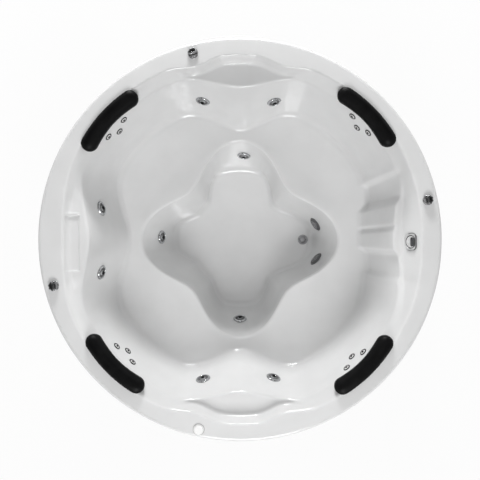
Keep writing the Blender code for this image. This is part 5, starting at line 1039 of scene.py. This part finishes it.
shapes = [ring_pipe(AIR_RING_RADIUS, AIR_RING_HEIGHT, AIR_PIPE_RADIUS, 0.03, 0.022)]
for name, place in jet_places.items():
    _, aside, end = air_port(name, place)
    mouth = end + SEAT_GAP * unit(end - aside)
    ring = ring_point(AIR_RING_RADIUS, mouth, AIR_RING_HEIGHT)
    low = [] if "back" in name else [(x, y, AIR_RUN_HEIGHT) for x, y in (mouth[:2], ring[:2])]
    shapes.append(pipe([mouth, *low, ring], AIR_BRANCH_RADIUS, 0.025, 0.012, 0.002))
    shapes.append(tee(ring, AIR_PIPE_RADIUS))
for place in air_places.values():
    shapes.append(solid_turned(AIR_VALVE_PROFILE, 0.001, place, 48, nut_wave(-0.0106, -0.0204)))
    top = at(place, 0, 0, -VALVE_DEPTH)
    ring = ring_point(AIR_RING_RADIUS, top, AIR_RING_HEIGHT)
    route = [top, (top[0], top[1], AIR_RING_HEIGHT), ring]
    shapes.append(pipe(route, AIR_BRANCH_RADIUS, 0.01, 0.012, 0.002))
    shapes.append(tee(ring, AIR_PIPE_RADIUS))
air_pvc = moulded_material("grey_air_pipe", AIR_TONES, 0.30, 0.45, 500.0)
finished("air_pipes", joined(*shapes), [air_pvc], "tub", "air_main")

# The suction line: the two bodies behind the suction covers, and one pipe from both to the pump's
# inlet.
SUCTION_PIPE_RADIUS, SUCTION_BEND_RADIUS_OUT = 0.022, 0.600
SUCTION_PIPE_HEIGHT, SUCTION_DEPTH = 0.215, 0.069
SUCTION_BODY_PROFILE = (
    (1, -18.5), (20.6, -18.5), (20.6, -0.6), (21, -0.6), (21, -13), (35, -13), (35, -23), (25, -23.5),
    (24, -70), (1, -70),
)
PUMP_VOLUTE_LENGTH, PUMP_PORT_LENGTH = 0.075, 0.045

wave = nut_wave(-0.0131, -0.0229)
shapes = [solid_turned(SUCTION_BODY_PROFILE, 0.001, place, 48, wave) for place in suction_places.values()]
ends = {side: at(place, 0, 0, -SUCTION_DEPTH) for side, place in suction_places.items()}
bends = {
    side: polar(SUCTION_BEND_RADIUS_OUT, bearing, SUCTION_PIPE_HEIGHT)
    for side, (bearing, _) in SUCTION_SPOTS.items()
}
inlet = pump_middle + pump_along * (PUMP_VOLUTE_LENGTH / 2 + PUMP_PORT_LENGTH + SEAT_GAP)
route = [ends["north"], bends["north"], bends["south"], inlet + pump_along * PUMP_PORT_LENGTH, inlet]
shapes.append(pipe(route, SUCTION_PIPE_RADIUS, 0.035, 0.02))
shapes.append(pipe([ends["south"], bends["south"]], SUCTION_PIPE_RADIUS - 0.001))
shapes.append(sleeve(inlet + pump_along * 0.02, pump_along, SUCTION_PIPE_RADIUS, 0.04, 0.007))
finished("suction_pipes", joined(*shapes), [pvc], "tub", "suction_line")

# The waste line: from the waste and the overflow, under the footwell, to the open outlet in the east.
WASTE_PIPE_RADIUS, WASTE_PIPE_HEIGHT, WASTE_DEPTH, OVERFLOW_DEPTH = 0.019, 0.030, 0.048, 0.040
OVERFLOW_PIPE_RADIUS_OUT, WASTE_OUTLET_RADIUS_OUT, MOUTH_LENGTH = 0.938, 0.985, 0.037
MOUTH_SECTION = ((15, -38), (15, 0), (19, 0), (19, -20), (19, -38))

top = (WASTE_RADIUS_OUT, 0, FLOOR_HEIGHT - WASTE_DEPTH - SEAT_GAP)
corner = (WASTE_RADIUS_OUT, 0, WASTE_PIPE_HEIGHT)
mouth = facing((WASTE_OUTLET_RADIUS_OUT, 0, WASTE_PIPE_HEIGHT), (1, 0, 0), (0, 0, 1))
shapes = [pipe([top, corner, at(mouth, 0, 0, -MOUTH_LENGTH)], WASTE_PIPE_RADIUS, 0.012, 0.008)]
shapes.append(ring_shape(turned(softened(MOUTH_SECTION, 0.0008, looped=True), mouth, 48)))
start = at(overflow_place, 0, 0, -OVERFLOW_DEPTH - SEAT_GAP)
onward = at(overflow_place, 0, 0, -OVERFLOW_DEPTH - WASTE_PIPE_RADIUS)
down = (OVERFLOW_PIPE_RADIUS_OUT, 0, onward[2] - WASTE_PIPE_RADIUS)
low = (OVERFLOW_PIPE_RADIUS_OUT, 0, WASTE_PIPE_HEIGHT)
shapes.append(pipe([start, onward, down, low], WASTE_PIPE_RADIUS - 0.001, 0.02, 0.01, 0.002))
shapes.append(sleeve(low, (1, 0, 0), WASTE_PIPE_RADIUS, 0.05, 0.003))
finished("waste_pipes", joined(*shapes), [air_pvc], "tub", "waste_line")

# The frame: square steel tube, cut, welded and galvanised. Six posts carry the rim, and two bearers
# carry the footwell's pan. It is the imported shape, merged, with its edges rounded as drawn tube is.
FRAME_EDGE, FRAME_MERGE, FRAME_FLAT = 0.0022, 0.00002, math.radians(0.5)
ZINC_TONES = ((0.40, 0.42, 0.44), (0.58, 0.60, 0.62))
SPANGLE_SCALE, ZINC_ROUGHNESS = 90.0, (0.32, 0.55)

frame_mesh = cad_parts["support_frame"].data.copy()
frame_mesh.name = "welded_frame"
shape = bmesh.new()
shape.from_mesh(frame_mesh)
bmesh.ops.remove_doubles(shape, verts=shape.verts, dist=FRAME_MERGE)
bmesh.ops.dissolve_limit(shape, angle_limit=FRAME_FLAT, verts=shape.verts, edges=shape.edges)
shape.to_mesh(frame_mesh)
shape.free()
# Galvanising: two greys that drift, and a spangle of cells in the gloss.
zinc, tree, shader = patterned("galvanised_steel", ZINC_TONES, 30.0, (0.42,), metallic=0.9)
place = add_node(tree, "TexCoord", {}).outputs["Object"]
cells = add_node(tree, "TexVoronoi", {"Vector": place, "Scale": SPANGLE_SCALE})
spread_roughness(tree, shader, cells.outputs["Distance"], *ZINC_ROUGHNESS)
frame_mesh.materials.clear()
frame_mesh.materials.append(zinc)
welded_frame = new_object("welded_frame", frame_mesh)
rounding = welded_frame.modifiers.new("drawn_edges", "BEVEL")
rounding.width, rounding.segments, rounding.limit_method = FRAME_EDGE, 2, "ANGLE"
rounding.angle_limit = math.radians(50)
stand_in(welded_frame, "tub", "support_frame")

# The six levelling feet: a threaded stud in a moulded pad, with a hexagon lock nut under the frame.
POST_RADIUS_OUT = 0.953
PAD_PROFILE = ((1, 0), (32, 0), (32, 5.5), (29, 8), (16.5, 10), (15, 14), (1, 14))
STUD_RADIUS, STUD_FROM, THREAD_PITCH, THREAD_DEPTH, THREAD_ROWS = 0.0080, 0.008, 0.0020, 0.0008, 6
NUT_HEIGHT, STUD_TOP = 0.012, FRAME_BASE - 0.001 - SEAT_GAP
NUT_PROFILE = ((1, -12), (11.8, -12), (15, -10), (15, -2), (13.5, 0), (1, 0))
PAD_TONES = ((0.030, 0.030, 0.032), (0.048, 0.048, 0.050))


def stud_shape(place):
    """A thread: the radius rises and falls with (height / pitch - turn), a triangle wave."""
    height = np.arange(STUD_FROM, STUD_TOP - NUT_HEIGHT / 2, THREAD_PITCH / THREAD_ROWS)[:, None]
    angles = 2 * np.pi * np.arange(24) / 24
    wave = np.abs((height / THREAD_PITCH - angles / (2 * np.pi)) % 1 - 0.5) * 2
    radius = STUD_RADIUS - THREAD_DEPTH * wave
    rings = np.stack([radius * np.cos(angles), radius * np.sin(angles), height + 0 * radius], axis=-1)
    return closed_tube(at(place, rings))


def hexagon(angles, height):
    """Scales a circle to a hexagon: cos 30 / cos of the angle from the nearest flat's middle."""
    away = (angles + math.pi / 6) % (math.pi / 3) - math.pi / 6
    return math.cos(math.pi / 6) / np.cos(away) * np.ones_like(height)


pad_rubber = moulded_material("black_foot_pad", PAD_TONES, 0.45, 0.62, 600.0)
zinc_plate = plated_material("zinc_plated_stud", ZINC_TONES, 0.28, 0.42)
for number in range(6):
    place = facing(polar(POST_RADIUS_OUT, 30 + 60 * number))
    pad, stud = solid_turned(PAD_PROFILE, 0.0012, place, 64), stud_shape(place)
    nut = closed_tube(turned(np.array(NUT_PROFILE) / 1000, shifted(place, 0, 0, STUD_TOP), 48, hexagon))
    slots = np.repeat([0, 1], [len(pad[1]), len(stud[1]) + len(nut[1])])
    shape, node = joined(pad, stud, nut), f"levelling_foot_{number + 1}"
    finished(node + "_threaded", shape, [pad_rubber, zinc_plate], "tub", node, slots)

# The pump stands on the frame's shelf under the south-east seat. Its wet end is a black moulded
# volute with ribs, bolts round the cover, an inlet on the axis and an outlet upwards.
VOLUTE_PROFILE = (
    (68, -37.5), (80, -33), (85, -20), (85, 15), (78, 29), (64, 37.5), (38, 39), (34, 44), (34, 48), (30, 49),
    (30, 76), (33.5, 77), (33.5, 82.5), (20, 82.5),
)
OUTLET_PROFILE = ((30, 0), (30, 90), (34.5, 92), (34.5, 108.5), (33, 110), (1, 110))
BOLT_PROFILE = ((8.25, 20), (8.25, 33.5), (5.5, 33.6), (5.5, 38.5), (1, 39))
BOLT_COUNT, BOLT_CIRCLE = 8, 0.0735
VOLUTE_TONES = ((0.030, 0.030, 0.033), (0.050, 0.050, 0.053))


def volute_wave(angles, height):
    """Ribs across the volute's rim."""
    rib = (0.5 + 0.5 * np.cos(16 * angles)) ** 6
    return 1 + 0.03 * rib * (height > -0.030) * (height < 0.020)


pump_place = facing(pump_middle, pump_along, pump_out)
shapes = [solid_turned(VOLUTE_PROFILE, 0.003, pump_place, 128, volute_wave)]
shapes.append(solid_turned(OUTLET_PROFILE, 0.001, facing(pump_middle), 64))
for number in range(BOLT_COUNT):
    spot = polar(BOLT_CIRCLE, 360 * (number + 0.5) / BOLT_COUNT)
    shapes.append(solid_turned(BOLT_PROFILE, 0.0006, shifted(pump_place, *spot), 24))
volute_plastic = moulded_material("black_volute_plastic", VOLUTE_TONES, 0.38, 0.52, 400.0)
finished("pump_volute", joined(*shapes), [volute_plastic], "tub", "pump_wet_end")

# The pump's motor: a painted die-cast case with cooling fins, a fan cover at its end, a switch box
# on top with its cable gland, and a foot bolted to the shelf.
MOTOR_RADIUS, MOTOR_LENGTH, FIN_COUNT, FIN_DEPTH = 0.068, 0.190, 36, 0.085
CASE_PROFILE = ((73, 0), (74.8, -1.5), (74.8, -12), (68, -13), (68, -17))
FAN_PROFILE = ((68, -190), (71.4, -191), (71.4, -215), (66, -224), (40, -225), (1, -225))
BOX_SIZE, LID_SIZE = (0.085, 0.080, 0.045), (0.0845, 0.0795, 0.008)
FOOT_SIZE, STAND_SIZE = (0.110, 0.120, 0.012), (0.088, 0.072, PUMP_AXIS_UP - MOTOR_RADIUS / 2)
GLAND_PROFILE = ((11, 0), (11, 6), (9, 6.5), (9, 16.5), (7, 18), (3.5, 18), (3.5, 12), (1, 12))
PAINT_TONES = ((0.075, 0.125, 0.200), (0.105, 0.165, 0.250))


def fin_wave(angles, height):
    """Cooling fins along the case: a rounded square wave in the radius between its end rings."""
    fins = np.clip(1.6 * np.cos(FIN_COUNT * angles) + 0.5, 0, 1)
    begin = np.clip((-height - 0.020) / 0.003, 0, 1)
    end = np.clip((height + MOTOR_LENGTH - 0.010) / 0.003, 0, 1)
    return 1 - FIN_DEPTH * begin * end * (1 - fins)


def motor_block(middle, size, edge):
    """A level block along the pump, with its top and bottom edges rounded."""
    inset = np.array([edge, edge * 0.3, 0, 0, edge * 0.3, edge])
    height = np.array([0, edge * 0.3, edge, size[2] - edge, size[2] - edge * 0.3, size[2]]) - size[2] / 2
    return block(facing(middle, along=pump_along), size, inset, height, 9, 48)


motor_place = shifted(pump_place, 0, 0, -PUMP_VOLUTE_LENGTH / 2 - SEAT_GAP)
case = [(MOTOR_RADIUS, height) for height in np.linspace(-0.020, -MOTOR_LENGTH + 0.010, 24)]
profile = np.concatenate([np.array(CASE_PROFILE) / 1000, case, np.array(FAN_PROFILE) / 1000])
motor_middle = at(motor_place, 0, 0, -MOTOR_LENGTH / 2)
box_middle = motor_middle + (0, 0, MOTOR_RADIUS + 0.333 * BOX_SIZE[2])
foot_middle = motor_middle - (0, 0, PUMP_AXIS_UP - FOOT_SIZE[2] / 2)
shapes = [
    closed_tube(turned(profile, motor_place, 216, fin_wave)),
    motor_block(box_middle, BOX_SIZE, 0.004),
    motor_block(box_middle + (0, 0, BOX_SIZE[2] / 2 - LID_SIZE[2] / 2), LID_SIZE, 0.001),
    motor_block(foot_middle, FOOT_SIZE, 0.003),
    motor_block(foot_middle + (0, 0, STAND_SIZE[2] / 2 - FOOT_SIZE[2] / 2), STAND_SIZE, 0.004),
]
gland_place = facing(box_middle + (BOX_SIZE[1] / 2 - 0.001) * pump_out, pump_out, (0, 0, 1))
gland = solid_turned(GLAND_PROFILE, 0.0006, gland_place, 48)
slots = np.repeat([0, 1], [sum(len(faces) for _, faces in shapes), len(gland[1])])
paint = moulded_material("painted_motor_case", PAINT_TONES, 0.35, 0.50, 300.0)
finished("motor_case", joined(*shapes, gland), [paint, pad_rubber], "tub", "pump_motor", slots)

# The headrests: four curved bars of soft black skinned foam, one over each corner seat. A bar lies
# on the rim, hangs over the brow with a rounded nose, and is held by pins that the rim hides.
PILLOW_LENGTH, PILLOW_BEND_RADIUS, PILLOW_MIDDLE_RADIUS, PILLOW_END_ROUND = 0.388, 0.660, 0.889, 0.046
PILLOW_TURN = {"ne": 0.0, "nw": 0.0, "sw": 0.0, "se": 2.5}
PILLOW_SECTION = (
    (30, 1), (41, 8), (38, 19), (24, 26), (2, 27.5), (-20, 20), (-36, 5), (-42.5, -14), (-42, -32),
    (-34, -45), (-25, -45), (-10, -26), (8, -4.5), (18, 0.8),
)
PILLOW_SPINE = (-0.001, -0.004)
PILLOW_ROUND_STEPS, PILLOW_LONG_STEPS, PILLOW_START_SHARE = 56, 81, 0.97
PILLOW_VOXEL, PILLOW_PRESSURE, PILLOW_FRAMES, PILLOW_MOST_SWELL = 0.005, 4.0, 20, 0.005
CLOTH_TENSION, CLOTH_BENDING, PILLOW_FILL = 40, 8, 0.9
SKIN_SHEEN = 0.10
SKIN_TONES = ((0.0020, 0.0020, 0.0022), (0.0042, 0.0042, 0.0045))


def smooth_loop(corners, count):
    """A closed Catmull-Rom curve through the corners, count points, spread evenly by corner."""
    place = np.arange(count) / count * len(corners)
    first, t = np.floor(place).astype(int), (place % 1)[:, None]
    a, b, c, d = (corners[(first + shift) % len(corners)] for shift in (-1, 0, 1, 2))
    return 0.5 * (2 * b + (c - a) * t + (2 * a - 5 * b + 4 * c - d) * t**2 + (3 * b - a - 3 * c + d) * t**3)


def pillow_surface(bearing, turn):
    """The section carried along an arc, scaled about its spine by a half-ellipse towards both ends."""
    section = smooth_loop(np.array(PILLOW_SECTION) / 1000, PILLOW_ROUND_STEPS) - PILLOW_SPINE
    along = -np.cos(np.linspace(0, np.pi, PILLOW_LONG_STEPS)) * PILLOW_LENGTH / 2
    past = np.clip((np.abs(along) - PILLOW_LENGTH / 2 + PILLOW_END_ROUND) / PILLOW_END_ROUND, 0, 1)
    full = PILLOW_START_SHARE * np.sqrt(np.clip(1 - past**2, 0.0004, 1))
    angle = along / PILLOW_BEND_RADIUS + math.radians(bearing + turn)
    out = np.stack([np.cos(angle), np.sin(angle)], axis=-1)
    centre = polar(PILLOW_MIDDLE_RADIUS - PILLOW_BEND_RADIUS, bearing)[:2]
    radius = PILLOW_BEND_RADIUS + PILLOW_SPINE[0] + section[:, 0] * full[:, None]
    height = RIM_HEIGHT + PILLOW_SPINE[1] + section[:, 1] * full[:, None]
    flat = centre + radius[:, :, None] * out[:, None, :]
    return np.concatenate([flat, height[:, :, None]], axis=-1)


def vectors(items, field):
    """One field of a mesh's items, as rows of three numbers."""
    flat = np.empty(len(items) * 3)
    items.foreach_get(field, flat)
    return flat.reshape(-1, 3)


def inflate(piece, bearing):
    """Blows the piece up as cloth. Its back, which lies on the tub, stays where it was drawn."""
    before = vectors(piece.data.vertices, "co")
    normals = vectors(piece.data.vertex_normals, "vector")
    cloth = piece.modifiers.new("cloth", "CLOTH")
    cloth.settings.use_pressure = True
    cloth.settings.uniform_pressure_force = PILLOW_PRESSURE
    cloth.settings.effector_weights.gravity = 0
    cloth.settings.tension_stiffness = CLOTH_TENSION
    cloth.settings.bending_stiffness = CLOTH_BENDING
    cloth.point_cache.frame_start, cloth.point_cache.frame_end = 1, PILLOW_FRAMES
    for number in range(1, PILLOW_FRAMES + 1):
        bpy.context.scene.frame_set(number)
    apply_modifiers(piece)
    bpy.context.scene.frame_set(1)
    move = vectors(piece.data.vertices, "co") - before
    length = np.linalg.norm(move, axis=1, keepdims=True)
    move *= np.minimum(1, PILLOW_MOST_SWELL / np.maximum(length, 1e-9))
    free = np.clip((normals @ polar(-0.6, bearing, 0.8) + 0.25) / 0.5, 0, 1)[:, None]
    piece.data.vertices.foreach_set("co", (before + move * free).ravel())
    piece.data.update()


# Black skin over foam: a soft sheen, a fine pebbled grain and faint clouding.
skin_gloss, skin_grain = (0.36, 0.50, 24.0), (1400.0, 0.22, 0.0005)
skin, _, shader = patterned("black_cushion_skin", SKIN_TONES, 18.0, skin_gloss, skin_grain)
shader.inputs["Specular IOR Level"].default_value = SKIN_SHEEN
for seat, bearing in SEAT_BEARINGS.items():
    points, faces = closed_tube(pillow_surface(bearing, PILLOW_TURN[seat]))
    pillow = mesh_piece("headrest_" + seat, points, faces, [skin])
    remesh = pillow.modifiers.new("remesh", "REMESH")
    remesh.mode, remesh.voxel_size, remesh.use_smooth_shade = "VOXEL", PILLOW_VOXEL, True
    apply_modifiers(pillow)
    inflate(pillow, bearing)
    even = pillow.modifiers.new("even", "SMOOTH")
    even.factor, even.iterations = 0.5, 4
    finer = pillow.modifiers.new("finer", "SUBSURF")
    finer.levels = finer.render_levels = 1
    apply_modifiers(pillow)
    pillow.data.shade_smooth()
    stand_in(pillow, "tub", "pillow_" + seat)
